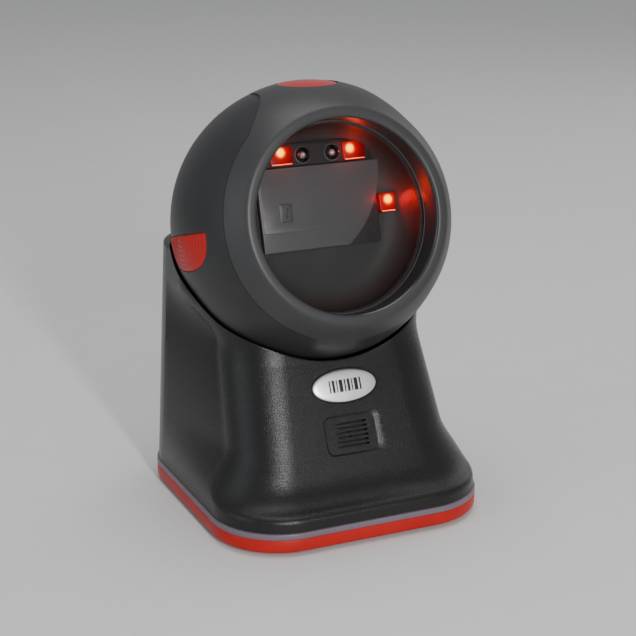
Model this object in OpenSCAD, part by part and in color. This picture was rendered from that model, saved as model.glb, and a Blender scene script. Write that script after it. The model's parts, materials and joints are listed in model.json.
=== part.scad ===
// Desktop presentation scanner: a ball head that tilts in the cradle of a flared wedge stand.
// Millimetres, +Z up, the front faces -Y and X = 0 is the symmetry plane.
// The origin is the centre of the footprint, on the surface that the rubber feet stand on.

/* [Stand] */
// Width of the base
base_w = 97; // [94:0.5:100]
// Depth of the base, front to back
base_d = 100; // [98:0.5:104]
// Radius of the corners seen from above, all the way up the stand
corner_r = 24; // [22:0.5:25]
// Width of the stand at the top of its side horns
top_w = 92; // [91:0.5:94]
// Height of the side horns above the table
horn_z = 91; // [88:0.5:93]
// Lean of the sloping front face from the vertical, in degrees
front_lean = 25; // [24:0.5:26]
// Height of the red band of the base tray
red_band_h = 5; // [4:0.5:6]
// Height of the grey trim band above it
trim_h = 2; // [1.5:0.5:2.5]
// How far the rubber feet stand out below the base tray
foot_gap = 1; // [0.5:0.1:1.5]
// Wall of the stand shell
stand_wall = 2.6; // [2.4:0.1:3]

/* [Head] */
// Diameter of the ball
ball_d = 96; // [95:0.5:96.5]
// Height of the ball's centre, which the tilt axis goes through
ball_z = 98.7; // [98:0.1:100]
// Place of the ball's centre behind the middle of the base
ball_y = 2; // [1:0.5:3]
// Upward tilt of the head as it is drawn, in degrees
rest_tilt = 16.3; // [10:0.1:20]
// Wall of the two head shells
head_wall = 2.6; // [2.4:0.1:2.8]
// Gap between the ball and the cradle
cradle_gap = 1; // [0.9:0.1:1.3]
// How far the bezel and its hood stand proud of the ball
bezel_proud = 0.7; // [0.5:0.1:0.8]
// Radius of the throat in front of the window
throat_r = 32.2; // [31.5:0.1:32.6]
// Depth of the throat from the lip to the window
throat_depth = 9.2; // [8:0.1:10]

/* [Button] */
// Radius of the round button on top of the head
button_r = 10.4; // [9:0.1:11]
// Travel of the button
button_travel = 0.8; // [0.5:0.1:1]

/* [Badge and sound outlet] */
// Width of the oval badge
badge_w = 25; // [20:0.5:28]
// Height of the oval badge along the slope
badge_h = 12.5; // [10:0.5:13]
// Height above the table of the badge's centre
badge_z = 48; // [46:0.5:49]
// Width of the sound outlet's recess
grille_w = 20; // [16:0.5:22]
// Height of the recess along the slope
grille_h = 15; // [12:0.5:16]
// Height above the table of the recess's centre
grille_z = 33; // [32:0.5:34]
// Number of slots in the sound outlet
grille_slots = 6; // [4:1:7]

/* [Hidden] */
$fn = 96;

tiny = 0.01;
far = 70;
ball_r = ball_d / 2;
ball_in_r = ball_r - head_wall;
bezel_r = ball_r + bezel_proud;
cradle_r = ball_r + cradle_gap;

// Levels of the stand
tray_z = foot_gap;
trim_z = tray_z + red_band_h;
shell_z = trim_z + trim_h;
ledge = 0.5;
base_hw = base_w / 2;
base_hd = base_d / 2;

// Side profile of the front: a vertical toe, a rounded shoulder, a concave flare, a straight slope,
// and a steeper stretch beside the ball
toe_y = -base_hd + ledge;
toe_z = shell_z + 2.8;
shoulder = [toe_y + 2.9, shell_z + 5.7];
flare_top_z = shell_z + 14;
slope_top_z = 57;
slope_top_y = -22.2;
horn_y = -12.5;
flare_top = [slope_top_y - (slope_top_z - flare_top_z) * tan(front_lean), flare_top_z];

function front_y(z) = slope_top_y - (slope_top_z - z) * tan(front_lean);
function half_w(z) = base_hw - ledge + (top_w / 2 - base_hw + ledge) * (z - shell_z) / (horn_z - shell_z);
back_drop = 6;
function back_y(z) = base_hd - ledge - back_drop * (z - shell_z) / (horn_z - shell_z);
back_lean = atan(back_drop / (horn_z - shell_z));

// Waist: above the foot the front corners draw in and tighten, and widen again beside the ball
waist_in = 7.6;
waist_lean = 2;
waist_corner_r = 18;
waist_foot_z = 30;
waist_top_z = slope_top_z + 3;
waist_end_z = 80;
function ease(z, low, high) =
    let (t = min(1, max(0, (z - low) / (high - low)))) t * t * (3 - 2 * t);
function waist(z) = ease(z, shoulder[1] - 1, waist_foot_z) * (1 - ease(z, waist_top_z, waist_end_z));
function front_in(z) =
    waist(z) * (waist_in + waist_lean * (z - waist_foot_z) / (slope_top_z - waist_foot_z));

function bezier(a, b, c, d, t) =
    a * pow(1 - t, 3) + 3 * b * t * pow(1 - t, 2) + 3 * c * t * t * (1 - t) + d * pow(t, 3);

// The front's outline as [y, z] points, bottom to top
front_profile = concat(
    [[toe_y, shell_z]],
    [for (i = [0:3])
        bezier([toe_y, toe_z], [toe_y, toe_z + 1.4], [toe_y + 0.9, shell_z + 5], shoulder, i / 4)],
    [for (i = [0:6]) bezier(shoulder, [shoulder[0] + 4.2, shoulder[1] + 1.6],
        [flare_top[0] - 1.7, flare_top[1] - 3.6], flare_top, i / 6)],
    [for (z = [26, waist_foot_z, 44, slope_top_z]) [front_y(z), z]],
    [for (z = [waist_top_z, 64, 68, 72, 76, waist_end_z, horn_z])
        [slope_top_y + (horn_y - slope_top_y) * (z - slope_top_z) / (horn_z - slope_top_z), z]]
);
last = len(front_profile) - 1;

// A point of the front's outline, moved inward by the shell's wall
function inner_point(i) =
    let (a = front_profile[max(i - 1, 0)], b = front_profile[min(i + 1, last)], d = (b - a) / norm(b - a))
    front_profile[i] + stand_wall * [d[1], -d[0]];

function corner(cx, cy, r, start, steps) =
    [for (k = [0:steps]) [cx + r * cos(start + 90 * k / steps), cy + r * sin(start + 90 * k / steps)]];
// The stand's plan outline at height z, with its front at yf, moved inward by inset
function section(z, yf, inset, steps) =
    let (
        hw = half_w(z) - inset, yb = back_y(z) - inset, r = corner_r - inset,
        fw = hw - front_in(z), fr = r - (corner_r - waist_corner_r) * waist(z)
    )
    [
        for (p = concat(
            corner(hw - r, yb - r, r, 0, steps), corner(r - hw, yb - r, r, 90, steps),
            corner(fr - fw, yf + fr, fr, 180, steps), corner(fw - fr, yf + fr, fr, 270, steps)))
        [p[0], p[1], z]
    ];

// A solid through a stack of sections with the same number of points, lowest first
module loft(rings) {
    n = len(rings[0]);
    m = len(rings);
    polyhedron(
        points = [for (ring = rings) for (p = ring) p],
        faces = concat(
            [[for (k = [0:n - 1]) k]],
            [[for (k = [0:n - 1]) m * n - 1 - k]],
            [for (i = [0:m - 2]) for (k = [0:n - 1]) [i * n + k, (i + 1) * n + k, (i + 1) * n + (k + 1) % n]],
            [for (i = [0:m - 2]) for (k = [0:n - 1])
                [i * n + k, (i + 1) * n + (k + 1) % n, i * n + (k + 1) % n]]
        ),
        convexity = 8
    );
}

// Frames of reference
module at_ball() { translate([0, ball_y, ball_z]) children(); }
// Head frame: X across, Y up the head, Z out through the window, from the ball's centre
module in_head() { at_ball() rotate([90 - rest_tilt, 0, 0]) children(); }
// Yoke frame: -Z runs down the neck
neck_lean = 10;
module in_yoke() { at_ball() rotate([neck_lean, 0, 0]) children(); }
// Face frames: X across, Y up the slope, Z outward
module on_front(z) { translate([0, front_y(z), z]) rotate([90 - front_lean, 0, 0]) children(); }
module on_back(z) { translate([0, back_y(z), z]) rotate([90 - back_lean, 0, 180]) children(); }
// Button frame: Z out along the button's travel
button_lean = rest_tilt - 3;
module on_button() { in_head() rotate([button_lean - 90, 0, 0]) children(); }

module both_sides() {
    children();
    mirror([1, 0, 0]) children();
}
module rounded_rect(w, d, r) {
    square([w - 2 * r, d], center = true);
    square([w, d - 2 * r], center = true);
    for (x = [r - w / 2, w / 2 - r]) for (y = [r - d / 2, d / 2 - r]) translate([x, y]) circle(r);
}
// Stretches a unit circle, cylinder or sphere into an oval one
module scale_oval(rx, ry) { scale([rx, ry, 1]) children(); }
module tube(r_out, r_in, h) {
    difference() {
        cylinder(r = r_out, h = h);
        translate([0, 0, -tiny]) cylinder(r = r_in, h = h + 2 * tiny);
    }
}
// Pan-head screw: head from z = 0 up, shank below, with a cross recess
module screw(head_r, head_h, shank_r, shank_l) {
    difference() {
        union() {
            cylinder(r = head_r, h = head_h);
            translate([0, 0, -shank_l]) cylinder(r = shank_r, h = shank_l);
        }
        for (a = [0, 90]) rotate([0, 0, a])
            translate([-head_r * 0.6, -0.3, head_h * 0.45]) cube([head_r * 1.2, 0.6, head_h]);
    }
}

// ---------- Stand ----------

tray_wall = 3;
tray_floor_h = 2.2;
tray_floor_z = tray_z + tray_floor_h;
base_screw_front = [33, -31];
base_screw_rear = [36, 34];
base_screw_at = [
    base_screw_front, base_screw_rear,
    [-base_screw_front[0], base_screw_front[1]], [-base_screw_rear[0], base_screw_rear[1]]
];
foot_at = [[27, -40], [27, 41], [-27, -40], [-27, 41]];
foot_r = 5.5;
foot_sink = 0.8;
foot_bevel = 0.5;
screw_head_h = 1.5;
base_boss_r = 4;
board_post_r = 3;
board_screw_r = 1;
base_screw_sink = 0.1 + screw_head_h;
screw_boss_r = 3.5;
screw_boss_h = 6;
screw_shank_r = 1.3;
screw_head_r = 2.8;
fit_gap = 0.05;
part_gap = 0.2;

// Neck, in the yoke frame
neck_w = 24;
neck_t = 12;
neck_foot = cradle_r + stand_wall + 0.4;
neck_screw_x = 9;
cable_x = 4.5;
cable_r = 2;

// Rear cover, in the frame of the back wall
cover_w = 52;
cover_h = 48;
cover_z = 34;
cover_t = 1.5;
cover_screw_x = 21;
cover_screw_v = 10;
cover_window = [36, 41];
cover_window_v = -0.5;
cover_screw_at = [[-cover_screw_x, cover_screw_v], [cover_screw_x, cover_screw_v]];
cover_screw_sink = 0.8;
rib_count = 5;
rib_low = 4;
rib_pitch = 3;
rib_size = [24, 1.2];
rib_depth = 0.5;
grille_seat_d = 1.8;
grille_corner_r = 3;
badge_seat_d = 1;
socket_w = 16;
socket_h = 13.5;
socket_d = 18;
board_top_z = 13.5;
socket_y_face = back_y(board_top_z + socket_h) - 0.6;

// Space round the cable socket, in the frame of the back wall
module socket_window() {
    translate([-socket_w / 2 - 0.4, board_top_z - cover_z - 0.6, -6])
        cube([socket_w + 0.8, socket_h + 0.8, 12]);
}
module stand_outer() {
    loft([for (p = front_profile) section(p[1], p[0], 0, 9)]);
}
module stand_cavity() {
    inner = [for (i = [1:last]) inner_point(i)];
    rings = concat([[inner[0][0], shell_z - 1]], [for (p = inner) if (p[1] > shell_z) p]);
    loft([for (p = rings) section(p[1], p[0], stand_wall, 6)]);
}
module stand_shell() color([0.19, 0.19, 0.19])
difference() {
    stand_outer();
    difference() {
        stand_cavity();
        at_ball() sphere(cradle_r + stand_wall);
    }
    at_ball() sphere(cradle_r);
    // Opening for the neck
    in_yoke() translate([-neck_w / 2 - part_gap, -neck_t / 2 - part_gap, -far])
        cube([neck_w + 2 * part_gap, neck_t + 2 * part_gap, far - cradle_r + 3]);
    // Seat and window of the rear cover
    on_back(cover_z) translate([0, 0, -cover_t]) linear_extrude(5) rounded_rect(cover_w, cover_h, 4);
    on_back(cover_z) translate([0, cover_window_v, -6]) linear_extrude(8)
        rounded_rect(cover_window[0], cover_window[1], 3);
    on_back(cover_z) for (p = cover_screw_at) translate([p[0], p[1], -6])
        cylinder(r = screw_shank_r + 0.2, h = 8);
    on_back(cover_z) socket_window();
    // Seats of the badge and the sound outlet
    on_front(badge_z) translate([0, 0, -badge_seat_d])
        scale_oval(badge_w / 2 + part_gap, badge_h / 2 + part_gap) cylinder(r = 1, h = 4);
    on_front(grille_z) translate([0, 0, -grille_seat_d]) linear_extrude(5)
        rounded_rect(grille_w, grille_h, grille_corner_r);
    on_front(grille_z) translate([0, 0, -4]) linear_extrude(6) rounded_rect(grille_w - 5, grille_h - 5, 1.5);
}
module rear_cover() color([0.16, 0.16, 0.16])
on_back(cover_z) difference() {
    translate([0, 0, -cover_t]) linear_extrude(cover_t)
        rounded_rect(cover_w - 2 * part_gap, cover_h - 2 * part_gap, 3.8);
    socket_window();
    for (p = cover_screw_at) translate([p[0], p[1], -5]) cylinder(r = screw_shank_r + 0.2, h = 10);
    for (p = cover_screw_at) translate([p[0], p[1], -cover_screw_sink])
        cylinder(r = screw_head_r + part_gap, h = 5);
    // Finger ribs across the upper half
    for (i = [0:rib_count - 1]) translate([-rib_size[0] / 2, rib_low + rib_pitch * i, -rib_depth])
        cube([rib_size[0], rib_size[1], 5]);
}
module rear_cover_screws() color([0.45, 0.45, 0.46])
on_back(cover_z) for (p = cover_screw_at) translate([p[0], p[1], -cover_screw_sink])
    screw(screw_head_r, cover_screw_sink, screw_shank_r, 9);

module base_tray() color([0.62, 0.14, 0.12])
difference() {
    union() {
        difference() {
            translate([0, 0, tray_z]) linear_extrude(red_band_h) rounded_rect(base_w, base_d, corner_r);
            translate([0, 0, tray_floor_z]) linear_extrude(10)
                rounded_rect(base_w - 2 * tray_wall, base_d - 2 * tray_wall, corner_r - tray_wall);
        }
        for (p = base_screw_at) translate([p[0], p[1], tray_z])
            cylinder(r = base_boss_r, h = shell_z - tray_z);
        for (p = board_post_at) translate([p[0], p[1], tray_z])
            cylinder(r = board_post_r, h = board_top_z - board_t - tray_z);
    }
    for (p = base_screw_at) translate([p[0], p[1], 0]) {
        cylinder(r = screw_head_r + part_gap, h = tray_z + base_screw_sink);
        cylinder(r = screw_shank_r + 0.3, h = 20);
    }
    for (p = board_post_at) translate([p[0], p[1], tray_floor_z])
        cylinder(r = board_screw_r + fit_gap, h = 20);
    for (p = foot_at) translate([p[0], p[1], 0]) cylinder(r = foot_r + part_gap, h = tray_z + foot_sink);
}
module base_trim() color([0.47, 0.41, 0.46])
translate([0, 0, trim_z]) linear_extrude(trim_h) difference() {
    rounded_rect(base_w, base_d, corner_r);
    rounded_rect(base_w - 2 * tray_wall, base_d - 2 * tray_wall, corner_r - tray_wall);
}
module rubber_feet() color([0.1, 0.1, 0.1])
for (p = foot_at) translate([p[0], p[1], 0]) {
    cylinder(r1 = foot_r - foot_bevel, r2 = foot_r, h = foot_bevel);
    translate([0, 0, foot_bevel]) cylinder(r = foot_r, h = tray_z + foot_sink - foot_bevel);
}
module base_screws() color([0.45, 0.45, 0.46])
for (p = base_screw_at) translate([p[0], p[1], tray_z + base_screw_sink])
    rotate([180, 0, 0]) screw(screw_head_r, screw_head_h, screw_shank_r, 11);

// Steel frame that carries the neck: a U-shaped flange on the tray's posts, two legs, a sloping top
// plate under the neck and two ears that the rear cover is screwed to
bracket_t = 3;
flange_t = 2;
flange_w = 88;
flange_d = 84;
leg_in = 25.5;
leg_front = -1;
leg_d = 24;
ear_r = 4;
ear_l = 10;
ear_gap = 0.5;
module support_bracket() color([0.5, 0.5, 0.52])
difference() {
    union() {
        translate([0, ball_y, shell_z]) linear_extrude(flange_t) difference() {
            rounded_rect(flange_w, flange_d, 20);
            translate([1 - leg_in, -31]) square([2 * leg_in - 2, flange_d]);
        }
        for (p = base_screw_at) translate([p[0], p[1], shell_z]) cylinder(r = screw_boss_r, h = screw_boss_h);
        intersection() {
            both_sides() translate([leg_in, leg_front, shell_z + flange_t / 2]) cube([bracket_t, leg_d, 60]);
            in_yoke() translate([-far, -far, -far - neck_foot - 1]) cube([2 * far, 2 * far, far]);
        }
        in_yoke() translate([-leg_in - bracket_t + 0.5, -leg_d / 2, -neck_foot - bracket_t])
            cube([2 * (leg_in + bracket_t) - 1, leg_d, bracket_t]);
        on_back(cover_z) both_sides() translate([cover_screw_x, cover_screw_v, -stand_wall - ear_gap - ear_l])
            cylinder(r = ear_r, h = ear_l);
        both_sides() translate([cover_screw_x - 1, leg_front + leg_d - 4, cover_z + cover_screw_v - 4])
            cube([leg_in + bracket_t - cover_screw_x, 18, 6]);
    }
    for (p = base_screw_at) translate([p[0], p[1], 0]) cylinder(r = screw_shank_r + fit_gap, h = 30);
    on_back(cover_z) for (p = cover_screw_at) translate([p[0], p[1], -stand_wall - ear_l + 1])
        cylinder(r = screw_shank_r + fit_gap, h = 20);
    in_yoke() translate([cable_x, 0, -far]) cylinder(r = cable_r + 0.5, h = far);
    in_yoke() both_sides() translate([neck_screw_x, 0, -far]) cylinder(r = screw_shank_r + 0.2, h = far);
}

ballast_size = [50, 42];
ballast_t = 4;
ballast_y = -14;
module ballast_plate() color([0.5, 0.5, 0.52])
translate([0, ballast_y, tray_floor_z]) linear_extrude(ballast_t)
    rounded_rect(ballast_size[0], ballast_size[1], 3);

badge_edge_t = 0.9;
badge_dome_h = 0.9;
module badge() color([0.86, 0.87, 0.88])
on_front(badge_z) translate([0, 0, -badge_seat_d]) {
    scale_oval(badge_w / 2, badge_h / 2) cylinder(r = 1, h = 0.5 + badge_edge_t);
    translate([0, 0, 0.5 + badge_edge_t]) intersection() {
        scale_oval(badge_w / 2, badge_h / 2) sphere(r = 1);
        cylinder(r = far, h = badge_dome_h);
    }
}

slot_pitch = 1.55;
slot_w = 12;
slot_h = 0.7;
grille_t = 1.2;
module sound_grille() color([0.14, 0.14, 0.14])
on_front(grille_z) difference() {
    translate([0, 0, -grille_seat_d]) linear_extrude(grille_t)
        rounded_rect(grille_w - 2 * part_gap, grille_h - 2 * part_gap, grille_corner_r - part_gap);
    for (i = [0:grille_slots - 1])
        translate([-slot_w / 2, (i - (grille_slots - 1) / 2) * slot_pitch - slot_h / 2, -3])
            cube([slot_w, slot_h, 5]);
}
buzzer_r = 8;
buzzer_h = 5;
module buzzer() color([0.08, 0.08, 0.09])
on_front(grille_z) translate([0, 0, -stand_wall - buzzer_h - 1]) difference() {
    cylinder(r = buzzer_r, h = buzzer_h);
    translate([0, 0, buzzer_h - 1]) cylinder(r = 1.2, h = 3);
}

board_t = 1.6;
board_w = 44;
board_d = 36;
board_y = 26;
board_post_at = [[-18, board_y - 14], [18, board_y - 14], [-18, board_y + 14], [18, board_y + 14]];
module interface_board() color([0.1, 0.32, 0.18])
difference() {
    union() {
        translate([-board_w / 2, board_y - board_d / 2, board_top_z - board_t])
            cube([board_w, board_d, board_t]);
        // Interface chip, crystal and two capacitors
        translate([10, board_y - 11, board_top_z - tiny]) cube([7, 7, 1.2]);
        translate([12, board_y + 1, board_top_z - tiny]) cube([5, 3, 1.4]);
        for (x = [-15, -9]) translate([x, board_y - 2, board_top_z - tiny]) cylinder(r = 2.2, h = 5);
    }
    for (p = board_post_at) translate([p[0], p[1], 0]) cylinder(r = 1.2, h = 30);
}
module board_screws() color([0.45, 0.45, 0.46])
for (p = board_post_at) translate([p[0], p[1], board_top_z]) screw(2, 1.2, board_screw_r, 7);

// Modular jack: the mouth faces the back, the latch notch is on top
jack_w = 11.8;
jack_h = 7.2;
jack_d = 13;
jack_floor = 2.4;
module jack_frame() { translate([0, socket_y_face, board_top_z]) children(); }
module cable_socket() color([0.12, 0.12, 0.13])
jack_frame() difference() {
    translate([-socket_w / 2, -socket_d, 0]) cube([socket_w, socket_d, socket_h]);
    translate([-jack_w / 2, -jack_d, jack_floor]) cube([jack_w, jack_d + 1, jack_h]);
    translate([-3.2, -jack_d, jack_floor]) cube([6.4, jack_d + 1, jack_h + 1.6]);
    translate([-1.8, -jack_d, jack_floor]) cube([3.6, jack_d + 1, jack_h + 2.7]);
}
contact_pitch = 1.02;
module socket_contacts() color([0.83, 0.66, 0.3])
jack_frame() for (i = [0:9]) translate([(i - 4.5) * contact_pitch - 0.2, -jack_d, jack_floor])
    cube([0.4, 8, 0.4]);

connector_h = 4;
cable_foot = (ball_z - board_top_z - connector_h) / cos(neck_lean);
module harness_connector() color([0.85, 0.83, 0.76])
translate([cable_x - 4, ball_y + cable_foot * sin(neck_lean) - 3, board_top_z])
    cube([8, 6, connector_h - 0.4]);
module lower_harness() color([0.13, 0.13, 0.14])
in_yoke() translate([cable_x, 0, -cable_foot]) {
    cylinder(r = cable_r, h = cable_foot);
    translate([0, 0, cable_foot]) sphere(r = cable_r);
}

// ---------- Tilt pivot ----------

pin_r = 3;
arm_in = 32;
arm_t = 4;
arm_r = 6.5;
washer_t = 0.8;
boss_in = arm_in + arm_t + washer_t + 0.1;
bar_z = -24;
bar_t = 4;
module along_x(x) { translate([x, 0, 0]) rotate([0, 90, 0]) children(); }
module tilt_yoke() color([0.55, 0.56, 0.57])
in_yoke() difference() {
    union() {
        both_sides() {
            along_x(arm_in) cylinder(r = arm_r, h = arm_t);
            translate([arm_in, -neck_t / 2, bar_z]) cube([arm_t, neck_t, -bar_z]);
        }
        translate([-arm_in - arm_t, -neck_t / 2, bar_z]) cube([2 * (arm_in + arm_t), neck_t, bar_t]);
        translate([-neck_w / 2, -neck_t / 2, -neck_foot]) cube([neck_w, neck_t, neck_foot + bar_z + 1]);
    }
    along_x(-far) cylinder(r = pin_r + fit_gap, h = 2 * far);
    translate([cable_x, 0, -far]) cylinder(r = cable_r + 0.5, h = far);
    both_sides() translate([neck_screw_x, 0, -far])
        cylinder(r = screw_shank_r + fit_gap, h = far - neck_foot + 12);
}
module pivot_pin() {
    along_x(arm_in - 1.6) cylinder(r = 5, h = 1.6);
    along_x(arm_in - 1) cylinder(r = pin_r, h = 13.2);
}
module pivot_pin_right() color([0.7, 0.7, 0.72]) at_ball() pivot_pin();
module pivot_pin_left() color([0.7, 0.7, 0.72]) at_ball() mirror([1, 0, 0]) pivot_pin();
module friction_washers() color([0.72, 0.62, 0.4])
at_ball() both_sides() along_x(arm_in + arm_t) tube(5.8, pin_r + 0.1, washer_t);

module neck_screws() color([0.45, 0.45, 0.46])
in_yoke() both_sides() translate([neck_screw_x, 0, -neck_foot - bracket_t])
    rotate([180, 0, 0]) screw(2.2, 1.6, screw_shank_r, 13);

// ---------- Head ----------

front_cut = 25.8;
rear_cut = -22;
lip_w = 33;
lip_r = 35.1;
seat_w = lip_w - throat_depth;
window_r = 33.9;
window_t = 1.6;
ring_w = 20.4;
ring_wall = 3.1;
slot_half_w = neck_w / 2 + 1.5;
tilt_down = 16;
tilt_up = 14;
neck_half_angle = asin(neck_t / 2 / ball_in_r) + 1.2;
slot_from = neck_lean + rest_tilt - tilt_down - neck_half_angle;
slot_to = neck_lean + rest_tilt + tilt_up + neck_half_angle;

// The hood and the side caps are let into pockets in the ball
inlay_t = 1.2;
inlay_gap = 0.1;
// Hood: half-width against distance along the head's axis
hood_end = -10;
hood_waist = 4;
function hood_half(w) = w > hood_waist
    ? 17.5 + 11 * pow((w - hood_waist) / (front_cut - hood_waist), 3)
    : 17.5 * sqrt(max(0, 1 - pow((hood_waist - w) / (hood_waist - hood_end), 2)));
hood_steps = 24;
hood_edge = [for (i = [0:hood_steps])
    hood_end + (front_cut + 0.2 - hood_end) * (1 - cos(90 * i / hood_steps))];
module hood_prism() {
    rotate([-90, 0, 0]) linear_extrude(far) polygon(concat(
        [for (w = hood_edge) [hood_half(w), -w]],
        [for (i = [hood_steps:-1:1]) [-hood_half(hood_edge[i]), -hood_edge[i]]]
    ));
}
// Side cap: straight along the pivot level, rounded below
cap_half = 15.8;
cap_drop = 12.2;
cap_w = 1.6;
cap_steps = 20;
cap_proud = 0.25;
module cap_prism(grow) {
    rotate([0, 90, 0]) linear_extrude(far) polygon([for (i = [0:cap_steps])
        let (a = 180 * i / cap_steps, c = cos(a), s = sin(a))
        [-cap_w - sign(c) * (cap_half + grow) * pow(abs(c), 0.8),
            grow - (cap_drop + 2 * grow) * pow(s, 0.8)]]);
}
// Wedge below the ball between two angles, measured backward from straight down the head
module neck_slot() {
    intersection() {
        translate([-slot_half_w, -far, -far]) cube([2 * slot_half_w, far, 2 * far]);
        rotate([0, -90, 0]) translate([0, 0, -far]) linear_extrude(2 * far) polygon([
            [0, 0],
            [-far * sin(slot_from), -far * cos(slot_from)],
            [-far * sin((slot_from + slot_to) / 2) * 1.2, -far * cos((slot_from + slot_to) / 2) * 1.2],
            [-far * sin(slot_to), -far * cos(slot_to)]
        ]);
    }
}
module ball_skin(r_out, r_in) {
    difference() {
        sphere(r = r_out);
        sphere(r = r_in);
    }
}
module beyond(w) { translate([0, 0, w]) cylinder(r = far, h = far); }
module behind(w) { translate([0, 0, w - far]) cylinder(r = far, h = far); }
module button_hole(r) { rotate([button_lean - 90, 0, 0]) cylinder(r = r, h = far); }
post_r = 35;
cap_screw_seat = -26;
// Repeats its children round the head's axis, at the four posts that join the two shells
module at_posts(w) { for (a = [45:90:315]) rotate([0, 0, a]) translate([post_r, 0, w]) children(); }

module bezel() color([0.33, 0.33, 0.34])
in_head() difference() {
    union() {
        rotate_extrude() {
            // Outer skin from the crease to the lip, the throat and the window's seat
            difference() {
                intersection() {
                    circle(r = bezel_r);
                    translate([0, front_cut]) square([far, lip_w - front_cut]);
                }
                translate([-far, 0]) square([far, far]);
                square([throat_r, far]);
                translate([0, front_cut - 5]) square([window_r + part_gap, seat_w - front_cut + 5]);
                translate([lip_r, lip_w]) rotate(-45) square([1.2, 1.2], center = true);
            }
            translate([window_r + part_gap, ring_w]) square([ring_wall, front_cut - ring_w + tiny]);
            translate([throat_r, seat_w]) square([window_r - throat_r + 0.4, front_cut - seat_w + tiny]);
        }
        intersection() {
            ball_skin(bezel_r, ball_r - inlay_t);
            hood_prism();
            behind(front_cut + tiny);
        }
    }
    button_hole(button_r + 0.2);
}

module head_shell() color([0.2, 0.2, 0.21])
in_head() difference() {
    union() {
        difference() {
            ball_skin(ball_r, ball_in_r);
            beyond(front_cut);
            behind(rear_cut);
        }
        both_sides() along_x(boss_in) cylinder(r = 6, h = 46.4 - boss_in);
        at_posts(rear_cut) {
            cylinder(r = 3.5, h = 9);
            translate([0, -1.2, 0]) cube([5.6, 2.4, 9]);
        }
        intersection() {
            sphere(r = ball_in_r + 0.5);
            rotate([button_lean - 90, 0, 0]) translate([0, 0, 39.2]) tube(13.6, 12.2, 8);
        }
    }
    neck_slot();
    // Clear of the bezel's ring
    translate([0, 0, ring_w - part_gap]) cylinder(r = window_r + ring_wall + 2 * part_gap, h = far);
    intersection() {
        difference() {
            sphere(r = far);
            sphere(r = ball_r - inlay_t - inlay_gap);
        }
        hood_prism();
    }
    both_sides() intersection() {
        ball_skin(far, ball_r - inlay_t - inlay_gap);
        cap_prism(inlay_gap);
    }
    both_sides() along_x(30) cylinder(r = pin_r + fit_gap, h = 15.4);
    button_hole(button_r + 0.2);
    at_posts(rear_cut - tiny) cylinder(r = screw_shank_r + fit_gap, h = 8);
}
module head_rear_cap() color([0.2, 0.2, 0.21])
in_head() difference() {
    union() {
        intersection() {
            ball_skin(ball_r, ball_in_r);
            behind(rear_cut);
        }
        intersection() {
            at_posts(-far) cylinder(r = 4.2, h = far + rear_cut);
            sphere(r = ball_r);
        }
    }
    neck_slot();
    at_posts(-far) {
        cylinder(r = screw_shank_r + 0.2, h = far);
        cylinder(r = screw_head_r + 0.2, h = far + cap_screw_seat);
    }
}
module head_screws() color([0.45, 0.45, 0.46])
in_head() at_posts(cap_screw_seat) rotate([180, 0, 0]) screw(screw_head_r, 1.6, screw_shank_r, 10);

module side_cap() {
    intersection() {
        ball_skin(ball_r + cap_proud, ball_r - inlay_t);
        cap_prism(0);
    }
}
module side_cap_right() color([0.62, 0.14, 0.12]) in_head() side_cap();
module side_cap_left() color([0.62, 0.14, 0.12]) in_head() mirror([1, 0, 0]) side_cap();

module window() color([0.5, 0.5, 0.55, 0.4])
in_head() translate([0, 0, seat_w - window_t]) cylinder(r = window_r, h = window_t);
gasket_t = 0.8;
module window_gasket() color([0.08, 0.08, 0.08])
in_head() translate([0, 0, seat_w - window_t - gasket_t]) tube(window_r, 31.6, gasket_t);

// Bowl behind the window: a flat floor that curves up to the window's seat
shroud_top = seat_w - window_t - gasket_t;
floor_w = 10;
floor_r = 18;
rim_r = 31.4;
shroud_t = 1.6;
function bowl_point(a, grow) = [
    floor_r + (rim_r - floor_r + grow) * sin(a), shroud_top - (shroud_top - floor_w + grow) * cos(a)
];
module optics_shroud() color([0.15, 0.15, 0.15])
in_head() difference() {
    rotate_extrude() polygon(concat(
        [[0, floor_w]],
        [for (a = [0:10:90]) bowl_point(a, 0)],
        [[window_r, shroud_top], [window_r, shroud_top - 1.4]],
        [for (a = [82:-8:2]) bowl_point(a, shroud_t)],
        [[0, floor_w - shroud_t]]
    ));
    // Camera port, lamp ports and the ledge's seat
    translate([camera_at[0], camera_at[1], 0]) cylinder(r = 6.4, h = 30);
    for (p = led_at) translate([p[0], p[1], 0]) linear_extrude(30)
        square([p[2] + 0.4, p[3] + 0.4], center = true);
    translate([0, strip_v, strip_back]) linear_extrude(30)
        square([strip_w + 0.4, strip_h + 0.4], center = true);
}

panel_w = 45;
panel_h = 28;
panel_v = 4.5;
panel_t = 2.4;
camera_at = [-13.7, 3.4];
camera_window_r = 4.1;
module scan_panel() color([0.3, 0.3, 0.31])
in_head() difference() {
    translate([0, panel_v, floor_w + 0.1]) linear_extrude(panel_t) square([panel_w, panel_h], center = true);
    bowl_clear();
    translate([camera_at[0], camera_at[1], 0]) cylinder(r = camera_window_r, h = 30);
}
// Everything outside the bowl, for trimming what sits in it
module bowl_clear() {
    difference() {
        translate([0, 0, floor_w - 5]) cylinder(r = far, h = 30);
        rotate_extrude() polygon(concat(
            [[0, floor_w + 0.05]], [for (a = [0:10:90]) bowl_point(a, -0.1)], [[rim_r - 0.1, 40], [0, 40]]
        ));
    }
}

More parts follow.
